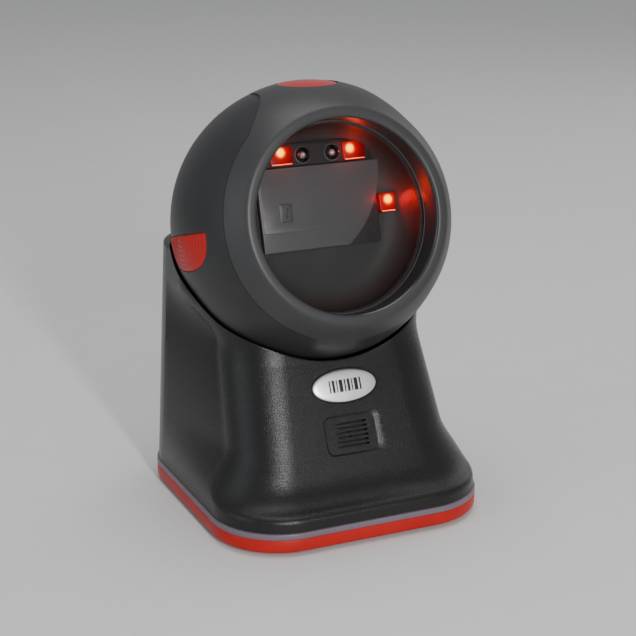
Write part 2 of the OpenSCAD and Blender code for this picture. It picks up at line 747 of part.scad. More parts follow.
strip_w = 40;
strip_h = 7.6;
strip_v = 22.6;
strip_back = 10.9;
strip_t = 1.5;
module led_strip() color([0.1, 0.1, 0.1])
in_head() difference() {
    translate([0, strip_v, strip_back]) linear_extrude(strip_t) square([strip_w, strip_h], center = true);
    for (p = led_at) translate([p[0], p[1], 0]) linear_extrude(30)
        square([p[2] + 0.2, p[3] + 0.2], center = true);
    for (x = [-dome_x, dome_x]) translate([x, dome_v, 0]) cylinder(r = dome_r + 0.1, h = 30);
}
// Lamp windows: [across, up, width, height]
led_at = [[-13.3, 22.6, 6.6, 6], [13.3, 22.6, 6.6, 6], [-24.8, 4.4, 4.2, 7], [24.8, 4.4, 4.2, 7]];
module led_windows() color([0.9, 0.1, 0.05])
in_head() for (p = led_at) translate([p[0], p[1], 9]) linear_extrude(4) square([p[2], p[3]], center = true);
dome_x = 5.4;
dome_v = 22.2;
dome_r = 2.6;
module sensor_domes() color([0.7, 0.7, 0.72, 0.6])
in_head() for (x = [-dome_x, dome_x]) translate([x, dome_v, strip_back]) {
    cylinder(r = dome_r, h = 2.2);
    translate([0, 0, 2.2]) intersection() {
        sphere(r = dome_r);
        cylinder(r = dome_r, h = dome_r);
    }
}

pcb_front = -6.4;
pcb_t = 1.6;
module camera_module() color([0.12, 0.12, 0.13])
in_head() difference() {
    translate([camera_at[0] - 8, camera_at[1] - 7, pcb_front]) cube([16, 14, 9]);
    translate([camera_at[0], camera_at[1], -3]) cylinder(r = 4.5, h = 20);
}
module lens_barrel() color([0.2, 0.2, 0.24])
in_head() translate([camera_at[0], camera_at[1], -2.9]) difference() {
    cylinder(r = 4.4, h = 12.8);
    translate([0, 0, 11.6]) cylinder(r = 3.2, h = 3);
}
pcb_w = 52;
pcb_low = -12;
pcb_high = 24;
notch_w = 7;
notch_top = -3;
harness_turn_v = 8;
pcb_screw_at = [[-23, -9], [23, -9], [-20, 21], [20, 21]];
module decoder_board() color([0.1, 0.32, 0.18])
in_head() difference() {
    union() {
        translate([-pcb_w / 2, pcb_low, pcb_front - pcb_t]) cube([pcb_w, pcb_high - pcb_low, pcb_t]);
        translate([-6, 2, pcb_front - pcb_t - 1.6]) cube([12, 12, 1.6 + tiny]);
        translate([10, 10, pcb_front - pcb_t - 1]) cube([8, 5, 1 + tiny]);
        translate([-12, -8, pcb_front - tiny]) cube([6, 3, 1.4]);
    }
    // Notch for the cable, which swings below the board as the head tilts
    translate([cable_x - notch_w / 2, pcb_low - 1, -30]) cube([notch_w, notch_top - pcb_low + 1, 40]);
    for (p = pcb_screw_at) translate([p[0], p[1], -30]) cylinder(r = 1.2, h = 40);
}
module decoder_screws() color([0.45, 0.45, 0.46])
in_head() for (p = pcb_screw_at) translate([p[0], p[1], pcb_front - pcb_t])
    rotate([180, 0, 0]) screw(2, 1.2, 1, 6);
module upper_harness() color([0.13, 0.13, 0.14])
in_head() translate([cable_x, 0, 0]) {
    rotate([-90, 0, 0]) translate([0, 0, cable_r + 0.3])
        cylinder(r = cable_r, h = harness_turn_v - cable_r - 0.3);
    translate([0, harness_turn_v, 0]) sphere(r = cable_r);
    translate([0, harness_turn_v, pcb_front]) cylinder(r = cable_r, h = -pcb_front);
}

// Button, its switch and its spring, in the button frame
cap_top = bezel_r;
cap_under = ball_r - 2.4;
flange_r = 11.8;
stem_r = 2;
switch_top = 38.6;
button_pcb_top = 35;
button_pcb_t = 1.2;
module button_board() color([0.1, 0.32, 0.18])
on_button() translate([0, 0, button_pcb_top - button_pcb_t]) intersection() {
    cylinder(r = 11.6, h = button_pcb_t);
    // Cut straight where the bowl comes close
    translate([-far, -7, 0]) cube([2 * far, far, button_pcb_t]);
}
module tact_switch() color([0.15, 0.15, 0.16])
on_button() {
    translate([-3, -3, button_pcb_top]) cube([6, 6, 2.6]);
    translate([0, 0, button_pcb_top + 2.6 - tiny]) cylinder(r = 1.6, h = switch_top - button_pcb_top - 2.6);
}
module top_button() color([0.62, 0.14, 0.12])
on_button() {
    intersection() {
        sphere(r = cap_top);
        translate([0, 0, cap_under]) cylinder(r = button_r, h = 10);
    }
    translate([0, 0, switch_top + button_travel + 0.1]) cylinder(r = stem_r, h = cap_under - switch_top);
    translate([0, 0, 42.6]) cylinder(r = flange_r, h = 1);
    translate([0, 0, 42.6]) cylinder(r = button_r - 1, h = cap_under - 42.4);
}
// Coil spring between the switch board and the flange
spring_r = 5.4;
wire_r = 0.35;
spring_turns = 4;
spring_low = button_pcb_top + wire_r + 0.05;
spring_high = 42.6 - wire_r - 0.05;
ring_steps = 14;
wire_sides = 8;
module button_spring() color([0.75, 0.75, 0.77])
on_button() {
    steps = spring_turns * ring_steps;
    rings = [for (i = [0:steps])
        let (a = 360 * i / ring_steps, z = spring_low + (spring_high - spring_low) * i / steps)
        [for (k = [0:wire_sides - 1])
            let (b = -360 * k / wire_sides, r = spring_r + wire_r * cos(b))
            [r * cos(a), r * sin(a), z + wire_r * sin(b)]]];
    loft(rings);
}

stand_shell();
rear_cover();
rear_cover_screws();
base_tray();
base_trim();
rubber_feet();
base_screws();
ballast_plate();
badge();
sound_grille();
buzzer();
interface_board();
board_screws();
cable_socket();
socket_contacts();
harness_connector();
lower_harness();
support_bracket();
tilt_yoke();
pivot_pin_left();
pivot_pin_right();
friction_washers();
neck_screws();
bezel();
head_shell();
head_rear_cap();
head_screws();
side_cap_left();
side_cap_right();
window();
window_gasket();
optics_shroud();
scan_panel();
led_strip();
led_windows();
sensor_domes();
camera_module();
lens_barrel();
decoder_board();
decoder_screws();
upper_harness();
button_board();
tact_switch();
top_button();
button_spring();
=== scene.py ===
# Looks of a presentation scanner: a ball head with a deep round window in a flared wedge stand.
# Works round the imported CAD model, in its frame. Shapes are worked out in millimetres in local frames.
import json
import math
import bmesh
import bpy
from mathutils import Matrix, Vector


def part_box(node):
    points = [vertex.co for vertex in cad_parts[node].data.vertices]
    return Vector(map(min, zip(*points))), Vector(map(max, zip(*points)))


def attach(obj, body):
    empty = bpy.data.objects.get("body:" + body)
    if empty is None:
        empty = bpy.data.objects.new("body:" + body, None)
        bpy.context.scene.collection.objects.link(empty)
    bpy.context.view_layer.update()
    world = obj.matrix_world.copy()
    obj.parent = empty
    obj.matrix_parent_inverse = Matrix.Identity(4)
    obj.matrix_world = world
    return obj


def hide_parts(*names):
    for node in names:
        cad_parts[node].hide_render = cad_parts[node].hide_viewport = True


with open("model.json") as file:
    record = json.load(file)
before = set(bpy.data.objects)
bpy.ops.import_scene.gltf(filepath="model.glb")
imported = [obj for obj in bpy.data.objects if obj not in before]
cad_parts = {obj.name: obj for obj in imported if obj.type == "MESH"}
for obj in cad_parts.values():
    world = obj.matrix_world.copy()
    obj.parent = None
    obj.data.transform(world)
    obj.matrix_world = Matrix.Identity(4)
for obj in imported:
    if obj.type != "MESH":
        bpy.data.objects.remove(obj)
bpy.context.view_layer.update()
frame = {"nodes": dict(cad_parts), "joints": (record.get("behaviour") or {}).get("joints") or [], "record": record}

MM = 0.001


def low_high(node):
    """The lowest and highest corner of a CAD node, in millimetres."""
    low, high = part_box(node)
    return low / MM, high / MM


# ---------- Dimensions, read from the CAD model ----------
tray_low, tray_high = low_high("base_tray")
trim_low, trim_high = low_high("base_trim")
shell_low, shell_high = low_high("stand_shell")
tilt_joint = [j for j in frame["joints"] if j["name"] == "head_tilt"][0]
ball = Vector(tilt_joint["pos_m"]) / MM

# The stand: half sizes of its base, plan corners, wall, tapers and the front's straight slope
BASE_HALF_W = tray_high.x
BASE_HALF_D = tray_high.y
LEDGE = 0.5
SHELL_Z = trim_high.z
HORN_Z = shell_high.z
CORNER_R = 24.0
WALL = 2.6
SIDE_TAPER = 2.0
BACK_DROP = 6.0
FRONT_LEAN = math.radians(25)
SLOPE_TOP = Vector((-22.2, 57.0))
HORN_Y = -12.5
SHOULDER_Z = SHELL_Z + 5.7
# Its waist: how far the front corners draw in, and the heights where that starts and ends
WAIST_IN = 7.6
WAIST_LEAN = 2.0
WAIST_R = 18.0
WAIST_FOOT_Z = 30.0
WAIST_TOP_Z = 60.0
WAIST_END_Z = 80.0

# The head: its tilt at rest, and the radii of ball, bezel and cradle
REST_TILT = math.radians(16.3)
NECK_LEAN = math.radians(10)
BALL_R = 48.0
BEZEL_R = 48.7
CRADLE_R = 49.0
SKIN = 2.6

# ---------- Frames: local millimetres to world metres ----------
WORLD = Matrix.Scale(MM, 4)
AT_BALL = WORLD @ Matrix.Translation(ball)


def moved(place, x, y, z=0):
    """A frame shifted along its own axes."""
    return place @ Matrix.Translation((x, y, z))


# X across, Y up the head, Z out through the window
HEAD = AT_BALL @ Matrix.Rotation(math.pi / 2 - REST_TILT, 4, "X")
# Z out along the button's travel, which leans back from upright
BUTTON_LEAN = REST_TILT - math.radians(3)
BUTTON = HEAD @ Matrix.Rotation(BUTTON_LEAN - math.pi / 2, 4, "X")


def front_y(z):
    return SLOPE_TOP.x - (SLOPE_TOP.y - z) * math.tan(FRONT_LEAN)


def up_share(z):
    return (z - SHELL_Z) / (HORN_Z - SHELL_Z)


def half_w(z):
    return BASE_HALF_W - LEDGE - SIDE_TAPER * up_share(z)


def back_y(z):
    return BASE_HALF_D - LEDGE - BACK_DROP * up_share(z)


def smooth_step(x, low, high):
    t = min(1.0, max(0.0, (x - low) / (high - low)))
    return t * t * (3 - 2 * t)


def waist(z):
    """How far the front corners are drawn in: not at the foot, fully above it, not beside the ball."""
    return smooth_step(z, SHOULDER_Z - 1, WAIST_FOOT_Z) * (1 - smooth_step(z, WAIST_TOP_Z, WAIST_END_Z))


def front_in(z):
    return waist(z) * (WAIST_IN + WAIST_LEAN * (z - WAIST_FOOT_Z) / (SLOPE_TOP.y - WAIST_FOOT_Z))


def on_front(z):
    """Frame of the sloping front: X across, Y up the slope, Z outward."""
    return moved(WORLD, 0, front_y(z), z) @ Matrix.Rotation(math.pi / 2 - FRONT_LEAN, 4, "X")


def on_back(z):
    """Frame of the back wall: X across, Y up the wall, Z outward."""
    lean = math.atan(BACK_DROP / (HORN_Z - SHELL_Z))
    turn = Matrix.Rotation(math.pi, 4, "Z") @ Matrix.Rotation(math.pi / 2 - lean, 4, "X")
    return moved(WORLD, 0, back_y(z), z) @ turn


# ---------- Materials ----------
def add_node(tree, kind, settings=None, **inputs):
    """A shader node. settings are its own properties; inputs are values or other nodes' outputs."""
    node = tree.nodes.new("ShaderNode" + kind)
    for name, value in (settings or {}).items():
        setattr(node, name, value)
    set_inputs(tree, node, **{name.replace("_", " "): value for name, value in inputs.items()})
    return node


def set_inputs(tree, node, **inputs):
    for name, value in inputs.items():
        if isinstance(value, bpy.types.NodeSocket):
            tree.links.new(value, node.inputs[name])
        else:
            node.inputs[name].default_value = value


LOOKS = {}


def new_material(name):
    material = bpy.data.materials.new(name)
    LOOKS[name] = material
    material.use_nodes = True
    tree = material.node_tree
    return material, tree, tree.nodes["Principled BSDF"], add_node(tree, "TexCoord").outputs["Object"]


def noise(tree, where, size_mm, detail=2.0, roughness=0.5):
    node = add_node(tree, "TexNoise", Vector=where, Scale=1 / (size_mm * MM), Detail=detail,
                    Roughness=roughness)
    return node.outputs["Fac"]


def remap(tree, value, low, high, from_low=0.3, from_high=0.7):
    node = add_node(tree, "MapRange", Value=value, From_Min=from_low, From_Max=from_high, To_Min=low,
                    To_Max=high)
    return node.outputs["Result"]


def blend_colours(tree, factor, first, second):
    """A mix of two colours. The second may be another node's output."""
    if not isinstance(second, bpy.types.NodeSocket):
        second = (*second, 1)
    node = add_node(tree, "Mix", {"data_type": "RGBA"}, A=(*first, 1), B=second, Factor=factor)
    return node.outputs["Result"]


def bump(tree, height, strength, distance_mm):
    node = add_node(tree, "Bump", Strength=strength, Distance=distance_mm * MM, Height=height)
    return node.outputs["Normal"]


def shade(colour, share):
    return tuple(c * share for c in colour)


def plastic(name, colour, rough, grain_mm=0.35, grain=0.25, depth_mm=0.03, patchy=0.12, coat=0.0,
            specular=0.28):
    """Moulded plastic: a spark-eroded grain, slightly patchy colour and gloss."""
    material, tree, shader, where = new_material(name)
    patches = remap(tree, noise(tree, where, 14, 3), 0, 1)
    fine = noise(tree, where, grain_mm, 2, 0.6)
    set_inputs(tree, shader, **{
        "Base Color": blend_colours(tree, patches, shade(colour, 1 - patchy), shade(colour, 1 + patchy)),
        "Roughness": remap(tree, fine, rough * 0.86, rough * 1.14),
        "Normal": bump(tree, fine, grain, depth_mm),
        "Coat Weight": coat,
        "Coat Roughness": 0.25,
        "Specular IOR Level": specular,
    })
    return material


def metal(name, colour, rough, grain_mm=0.5, stretch=(1, 1, 1), grain=0.15, metallic=1.0):
    """Bare or plated metal, with a lay that stretch draws out along one axis."""
    material, tree, shader, where = new_material(name)
    drawn = add_node(tree, "Mapping", Vector=where, Scale=stretch).outputs["Vector"]
    lay = noise(tree, drawn, grain_mm, 3)
    stain = remap(tree, noise(tree, where, 9, 3), 0, 1)
    set_inputs(tree, shader, **{
        "Base Color": blend_colours(tree, stain, shade(colour, 0.85), colour),
        "Roughness": remap(tree, lay, rough * 0.8, rough * 1.25),
        "Normal": bump(tree, lay, grain, 0.02),
        "Metallic": metallic,
    })
    return material


def circuit(name):
    """Green solder mask over copper tracks."""
    material, tree, shader, where = new_material(name)
    tracks = add_node(tree, "TexBrick", Vector=where, Scale=1 / (3.2 * MM), Mortar_Size=0.03,
                      Color1=(0.012, 0.085, 0.035, 1), Color2=(0.016, 0.11, 0.045, 1),
                      Mortar=(0.03, 0.2, 0.08, 1))
    set_inputs(tree, shader, **{
        "Base Color": tracks.outputs["Color"],
        "Normal": bump(tree, tracks.outputs["Fac"], 0.2, 0.03),
        "Roughness": 0.32,
    })
    return material


def lamp(name, core, edge, strength):
    """A lit part: red, mottled with a paler core colour."""
    material, tree, shader, where = new_material(name)
    mottle = remap(tree, noise(tree, where, 1.6, 2), 0, 1)
    set_inputs(tree, shader, **{
        "Emission Color": blend_colours(tree, mottle, edge, core),
        "Emission Strength": strength,
        "Base Color": (*edge, 1),
        "Roughness": 0.2,
    })
    return material


def lamp_window(name, hot_spot):
    """Red lamp window: a pale hot core, orange round it, and red to the edges."""
    material, tree, shader, where = new_material(name)
    distance = add_node(tree, "VectorMath", {"operation": "DISTANCE"})
    tree.links.new(where, distance.inputs[0])
    distance.inputs[1].default_value = hot_spot
    # The ripple breaks up the rings round the hot spot
    spread = add_node(tree, "Math", {"operation": "MULTIPLY_ADD"})
    tree.links.new(noise(tree, where, 0.9, 2), spread.inputs[0])
    spread.inputs[1].default_value = 0.6 * MM
    tree.links.new(distance.outputs["Value"], spread.inputs[2])
    away = spread.outputs["Value"]
    ramp = add_node(tree, "ValToRGB", Fac=remap(tree, away, 0, 1, 0.2 * MM, 5.2 * MM))
    stops = [(0.0, (1.0, 0.84, 0.0)), (0.27, (1.0, 0.44, 0.0)), (0.36, (1.0, 0.02, 0.0)),
             (0.55, (0.50, 0.0, 0.0)), (1.0, (0.16, 0.0, 0.0))]
    ramp.color_ramp.elements.remove(ramp.color_ramp.elements[1])
    for index, (place, colour) in enumerate(stops):
        stop = ramp.color_ramp.elements[0] if index == 0 else ramp.color_ramp.elements.new(place)
        stop.position = place
        stop.color = (*colour, 1)
    set_inputs(tree, shader, **{
        "Emission Color": ramp.outputs["Color"],
        "Emission Strength": remap(tree, away, 3.8, 0.9, 1.2 * MM, 2.3 * MM),
        "Base Color": (0.02, 0.0, 0.0, 1),
        "Specular IOR Level": 0.1,
        "Roughness": 0.3,
    })
    return material


def clear(name, colour, rough, gloss_ior, haze_mm=6):
    """Clear moulded part seen against a dark inside: mostly see-through, glossier at its edges."""
    material, tree, shader, where = new_material(name)
    haze = remap(tree, noise(tree, where, haze_mm, 2), 0, 1)
    tint = blend_colours(tree, haze, shade(colour, 0.97), colour)
    through = add_node(tree, "BsdfTransparent", Color=tint)
    gloss = add_node(tree, "BsdfGlossy", Roughness=rough)
    mix = add_node(tree, "MixShader", Fac=add_node(tree, "Fresnel", IOR=gloss_ior).outputs["Fac"])
    tree.links.new(through.outputs["BSDF"], mix.inputs[1])
    tree.links.new(gloss.outputs["BSDF"], mix.inputs[2])
    tree.links.new(mix.outputs["Shader"], tree.nodes["Material Output"].inputs["Surface"])
    return material


def fade_to(material, colour, place, low_mm, high_mm):
    """Blends a material to a colour along a frame's Z axis: wholly at low_mm, not at all at high_mm."""
    tree = material.node_tree
    base = tree.nodes["Principled BSDF"].inputs["Base Color"]
    own = base.links[0].from_socket
    axis = (place.to_3x3() @ Vector((0, 0, 1))).normalized()
    start = place.translation.dot(axis)
    along = add_node(tree, "VectorMath", {"operation": "DOT_PRODUCT"})
    tree.links.new(add_node(tree, "TexCoord").outputs["Object"], along.inputs[0])
    along.inputs[1].default_value = axis
    share = remap(tree, along.outputs["Value"], 0, 1, start + low_mm * MM, start + high_mm * MM)
    tree.links.new(blend_colours(tree, share, colour, own), base)


STAND_GREY = (0.0105, 0.0105, 0.0102)
BALL_GREY = (0.021, 0.021, 0.022)
BEZEL_GREY = (0.034, 0.034, 0.035)
RED = (0.37, 0.008, 0.006)
STEEL_LAY = (1, 12, 12)

# One look for each of the record's material slots, under the slot's name
stand_look = plastic("stand_plastic", STAND_GREY, 0.27, grain_mm=0.34, grain=1.0, depth_mm=0.09)
plastic("cover_plastic", shade(STAND_GREY, 0.85), 0.48, grain_mm=0.3, grain=0.5, depth_mm=0.05)
ball_look = plastic("ball_plastic", BALL_GREY, 0.42, grain_mm=0.3, grain=0.2)
bezel_look = plastic("bezel_plastic", BEZEL_GREY, 0.40, grain_mm=0.3, grain=0.15, depth_mm=0.02,
                     patchy=0.05)
shroud_look = plastic("shroud_plastic", (0.024, 0.024, 0.023), 0.62, grain_mm=0.4, grain=0.05)
strip_look = plastic("strip_plastic", (0.010, 0.008, 0.008), 0.5, grain=0.05)
# Its lighter grey, on the scan panel's plate and pane, paints the reflection of the window's opening
panel_reflection_look = plastic("panel_gloss", (0.066, 0.066, 0.068), 0.36, grain_mm=1.5, grain=0.02, patchy=0.04)
grille_look = plastic("grille_plastic", (0.014, 0.014, 0.014), 0.40, grain_mm=0.3, grain=0.4)
red_look = plastic("red_plastic", RED, 0.38, grain_mm=0.4, grain=0.12, patchy=0.06, specular=0.22)
red_gloss_look = plastic("red_gloss", (0.40, 0.012, 0.012), 0.3, grain_mm=2, grain=0.01, patchy=0.04,
                         specular=0.3)
trim_look = plastic("trim_plastic", (0.135, 0.105, 0.13), 0.38, grain_mm=0.4, grain=0.1, patchy=0.05)
plastic("rubber", (0.014, 0.014, 0.014), 0.78, grain_mm=0.5, grain=0.5, specular=0.3)
plastic("black_plastic", (0.012, 0.012, 0.013), 0.42)
plastic("socket_plastic", (0.015, 0.015, 0.016), 0.3, grain=0.08)
plastic("connector_plastic", (0.60, 0.57, 0.47), 0.4, grain=0.1)
plastic("harness_jacket", (0.015, 0.015, 0.016), 0.55, grain_mm=0.8, grain=0.3)
plastic("lens_metal", (0.02, 0.02, 0.035), 0.12, grain=0.02, coat=0.6)
metal("screw_steel", (0.46, 0.46, 0.47), 0.34)
metal("plate_steel", (0.42, 0.42, 0.43), 0.42, 0.3, STEEL_LAY)
metal("yoke_metal", (0.30, 0.30, 0.31), 0.5, 0.6, grain=0.4)
metal("pin_steel", (0.60, 0.60, 0.62), 0.22, 0.2, STEEL_LAY)
metal("spring_steel", (0.62, 0.62, 0.64), 0.25, 0.2)
metal("washer_brass", (0.60, 0.46, 0.20), 0.3, 0.4)
metal("contact_gold", (0.85, 0.60, 0.22), 0.2, 0.3)
badge_look = metal("badge_metal", (0.90, 0.90, 0.91), 0.36, 0.25, (14, 1, 1), grain=0.06, metallic=0.9)
circuit("circuit_board")
lamp("led_red", (1.0, 0.10, 0.02), (1.0, 0.02, 0.01), 5.0)
clear("window_glass", (0.97, 0.97, 0.97), 0.03, 1.12, 30)
dome_look = clear("clear_dome", (0.80, 0.78, 0.78), 0.05, 1.45)

# Looks of single faces and pieces
# The throat's and lip's darker greys are painted shade inside the window's recess
throat_shade_look = plastic("bezel_throat_shade", (0.018, 0.018, 0.019), 0.42, grain_mm=0.8, grain=0.02)
lip_look = plastic("bezel_lip", (0.026, 0.026, 0.027), 0.12, grain_mm=0.8, grain=0.01, specular=0.5)
panel_base_look = plastic("panel_base", (0.026, 0.026, 0.027), 0.25, grain_mm=1.5, grain=0.02, coat=0.1)
camera_cover_look = plastic("camera_cover", (0.058, 0.057, 0.057), 0.36, grain_mm=1.5, grain=0.02,
                            coat=0.1)
# Light grey that paints the highlight on the window's edge and on the sensor domes' rims
edge_highlight_look = plastic("painted_edge_highlight", (0.085, 0.085, 0.085), 0.3, grain=0.02)
sensor_core_look = plastic("sensor_core", (0.34, 0.30, 0.30), 0.2, grain=0.05, specular=0.6)
edge_glow_look = lamp("lamp_edge", (1.0, 0.20, 0.05), (1.0, 0.06, 0.01), 1.8)
floor_look = plastic("floor", (0.62, 0.62, 0.61), 0.65, grain_mm=2, grain=0.02, patchy=0.01)

# The hood's tip takes the ball's colour
fade_to(bezel_look, BALL_GREY, HEAD, -10, 6)

for part in frame["record"]["subparts"]:
    mesh = frame["nodes"][part["node"]].data
    mesh.materials.clear()
    mesh.materials.append(LOOKS[part["material_slot"]])
frame["nodes"]["window_gasket"].data.materials[0] = shroud_look


# ---------- Mesh helpers ----------
def piece(name, points, faces, place, body, look, replaced=()):
    """A mesh object from points in a local frame. It rides on a body and stands for CAD nodes.

    A piece with no body is a tool to cut with.
    """
    mesh = bpy.data.meshes.new(name)
    mesh.from_pydata([place @ Vector(p) for p in points], [], faces)
    work = bmesh.new()
    work.from_mesh(mesh)
    bmesh.ops.remove_doubles(work, verts=work.verts, dist=1e-7)
    bmesh.ops.dissolve_degenerate(work, edges=work.edges, dist=1e-8)
    bmesh.ops.recalc_face_normals(work, faces=work.faces)
    work.to_mesh(mesh)
    work.free()
    mesh.materials.append(look)
    made = bpy.data.objects.new(name, mesh)
    bpy.context.scene.collection.objects.link(made)
    if body:
        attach(made, body)
        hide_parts(*replaced)
    return made


def grid_faces(rows, columns, close_rows=False, close_columns=True):
    """Quads between rows of points with the same number of columns."""
    faces = []
    for i in range(rows if close_rows else rows - 1):
        for k in range(columns if close_columns else columns - 1):
            i2, k2 = (i + 1) % rows, (k + 1) % columns
            faces.append((i * columns + k, i * columns + k2, i2 * columns + k2, i2 * columns + k))
    return faces


def capped_faces(rows, count):
    """Quads between closed rings of points, and a face across each end."""
    ends = [tuple(range(count))[::-1], tuple(range((rows - 1) * count, rows * count))]
    return grid_faces(rows, count) + ends


def cut(target, *cutters):
    """Takes the cutters out of the target, and deletes them."""
    for cutter in cutters:
        tool = target.modifiers.new("cut", "BOOLEAN")
        tool.object = cutter
        tool.operation = "DIFFERENCE"
        tool.solver = "EXACT"
    evaluated = target.evaluated_get(bpy.context.evaluated_depsgraph_get())
    mesh = bpy.data.meshes.new_from_object(evaluated)
    target.modifiers.clear()
    target.data = mesh
    for cutter in cutters:
        bpy.data.objects.remove(cutter)


def smooth(target, degrees=35):
    target.data.polygons.foreach_set("use_smooth", [True] * len(target.data.polygons))
    target.data.set_sharp_from_angle(angle=math.radians(degrees))


def bezier(a, b, c, d, t):
    s = 1 - t
    return a * s ** 3 + b * 3 * t * s * s + c * 3 * t * t * s + d * t ** 3


def rounded_outline(half_x, half_y, radius, steps):
    """Points of a rectangle with round corners, counter-clockwise."""
    points = []
    for quarter, (sx, sy) in enumerate([(1, 1), (-1, 1), (-1, -1), (1, -1)]):
        for k in range(steps + 1):
            a = math.pi / 2 * (quarter + k / steps)
            x, y = sx * (half_x - radius), sy * (half_y - radius)
            points.append((x + radius * math.cos(a), y + radius * math.sin(a)))
    return points


def oval_outline(half_x, half_y, steps):
    turns = [2 * math.pi * k / steps for k in range(steps)]
    return [(half_x * math.cos(a), half_y * math.sin(a)) for a in turns]


def stacked(name, outline_at, levels, place, body, look, replaced=(), ring=False):
    """A solid through outlines at levels [(z, inset)]; outline_at(inset) gives the points.

    A ring joins its last level to its first instead of having ends.
    """
    points = [(x, y, z) for z, inset in levels for x, y in outline_at(inset)]
    rows, count = len(levels), len(points) // len(levels)
    faces = grid_faces(rows, count, close_rows=True) if ring else capped_faces(rows, count)
    return piece(name, points, faces, place, body, look, replaced)


def cutter(outline, low, high, place):
    """A prism to cut with."""
    return stacked("cutter", lambda inset: outline, [(low, 0), (high, 0)], place, None, stand_look)


def plain_cylinder(radius, low, high, place, steps=64):
    return cutter(oval_outline(radius, radius, steps), low, high, place)


# ---------- Stand shell ----------
TOE = Vector((-BASE_HALF_D + LEDGE, SHELL_Z + 2.8))
TOE_EDGE = 0.35
SHOULDER = Vector((TOE.x + 2.9, SHOULDER_Z))
FLARE_TOP_Z = SHELL_Z + 14
FLARE_TOP = Vector((front_y(FLARE_TOP_Z), FLARE_TOP_Z))
TOE_STEPS = 8
FLARE_STEPS = 16
WALL_STEPS = 40
RIM_STEPS = 8
RIM_R = 1.1
BOWL_STEPS = 18
CORNER_STEPS = 36
SIDE_STEPS = 14
MEET_FROM_Z = 40.0
MEET_STEPS = 60
MEET_HALVINGS = 20


def profile_points():
    """The front's outline below the straight slope: a vertical toe, a round shoulder, a concave flare."""
    toe_low = Vector((TOE.x, SHELL_Z))
    points = [toe_low + Vector((TOE_EDGE, 0)), toe_low + Vector((0.08, 0.12)),
              toe_low + Vector((0, TOE_EDGE))]
    # The two handles of the shoulder's curve and of the flare's
    toe_up, shoulder_down = TOE + Vector((0, 1.4)), Vector((TOE.x + 0.9, SHELL_Z + 5))
    shoulder_up, flare_down = SHOULDER + Vector((4.2, 1.6)), FLARE_TOP - Vector((1.7, 3.6))
    points += [bezier(TOE, toe_up, shoulder_down, SHOULDER, i / TOE_STEPS) for i in range(TOE_STEPS)]
    points += [bezier(SHOULDER, shoulder_up, flare_down, FLARE_TOP, i / FLARE_STEPS)
               for i in range(FLARE_STEPS + 1)]
    return points


foot_profile = profile_points()


def front_at(z):
    """Y of the front face at a height."""
    if z >= FLARE_TOP_Z:
        if z <= SLOPE_TOP.y:
            return front_y(z)
        return SLOPE_TOP.x + (HORN_Y - SLOPE_TOP.x) * (z - SLOPE_TOP.y) / (HORN_Z - SLOPE_TOP.y)
    for low, high in zip(foot_profile, foot_profile[1:]):
        if z <= high.y:
            return low.x + (high.x - low.x) * (z - low.y) / max(high.y - low.y, 1e-6)
    return FLARE_TOP.x


def plan_columns():
    """Columns round the plan as (corner, turn, share along the side that follows the corner)."""
    columns = []
    for quarter in range(4):
        columns += [(quarter, k / CORNER_STEPS, 0.0) for k in range(CORNER_STEPS)]
        columns += [(quarter, 1.0, k / SIDE_STEPS) for k in range(SIDE_STEPS)]
    return columns


def plan_point(column, z, inset):
    """A point of the stand's plan outline at height z, moved inward by inset."""
    quarter, turn, along = column
    hw, yf, yb = half_w(z), front_at(z), back_y(z)
    front_w = hw - front_in(z)
    front_r = CORNER_R - (CORNER_R - WAIST_R) * waist(z)
    # Each corner's centre, and its radius as the third number
    corners = [
        Vector((hw - CORNER_R, yb - CORNER_R, CORNER_R)),
        Vector((CORNER_R - hw, yb - CORNER_R, CORNER_R)),
        Vector((front_r - front_w, yf + front_r, front_r)),
        Vector((front_w - front_r, yf + front_r, front_r)),
    ]
    a = math.pi / 2 * (quarter + turn)
    here = corners[quarter].lerp(corners[(quarter + 1) % 4], along)
    flat = here.xy + Vector((math.cos(a), math.sin(a))) * (here.z - inset)
    return Vector((flat.x, flat.y, z))


def meet_sphere(column, inset, radius, top):
    """Height at which a wall column first comes within the radius of the ball's centre, or the top."""
    previous = MEET_FROM_Z
    for i in range(1, MEET_STEPS + 1):
        z = MEET_FROM_Z + (top - MEET_FROM_Z) * i / MEET_STEPS
        if (plan_point(column, z, inset) - ball).length <= radius:
            a, b = previous, z
            for _ in range(MEET_HALVINGS):
                m = (a + b) / 2
                if (plan_point(column, m, inset) - ball).length <= radius:
                    b = m
                else:
                    a = m
            return b
        previous = z
    return top


neck_turn = Matrix.Rotation(NECK_LEAN, 3, "X")
NECK_HALF_W = 12.2
NECK_HALF_T = 6.2


def neck_edge(direction, radius):
    """Point of the neck opening's outline, on a sphere, on the side that a direction points to."""
    local = neck_turn.inverted() @ direction
    flat = Vector((local.x, local.y))
    scale = min(NECK_HALF_W / max(abs(flat.x), 1e-6), NECK_HALF_T / max(abs(flat.y), 1e-6))
    x, y = flat.x * scale, flat.y * scale
    return neck_turn @ Vector((x, y, -math.sqrt(radius ** 2 - x * x - y * y)))


def on_sphere(start, end, share, radius):
    return start.normalized().slerp(end.normalized(), share) * radius


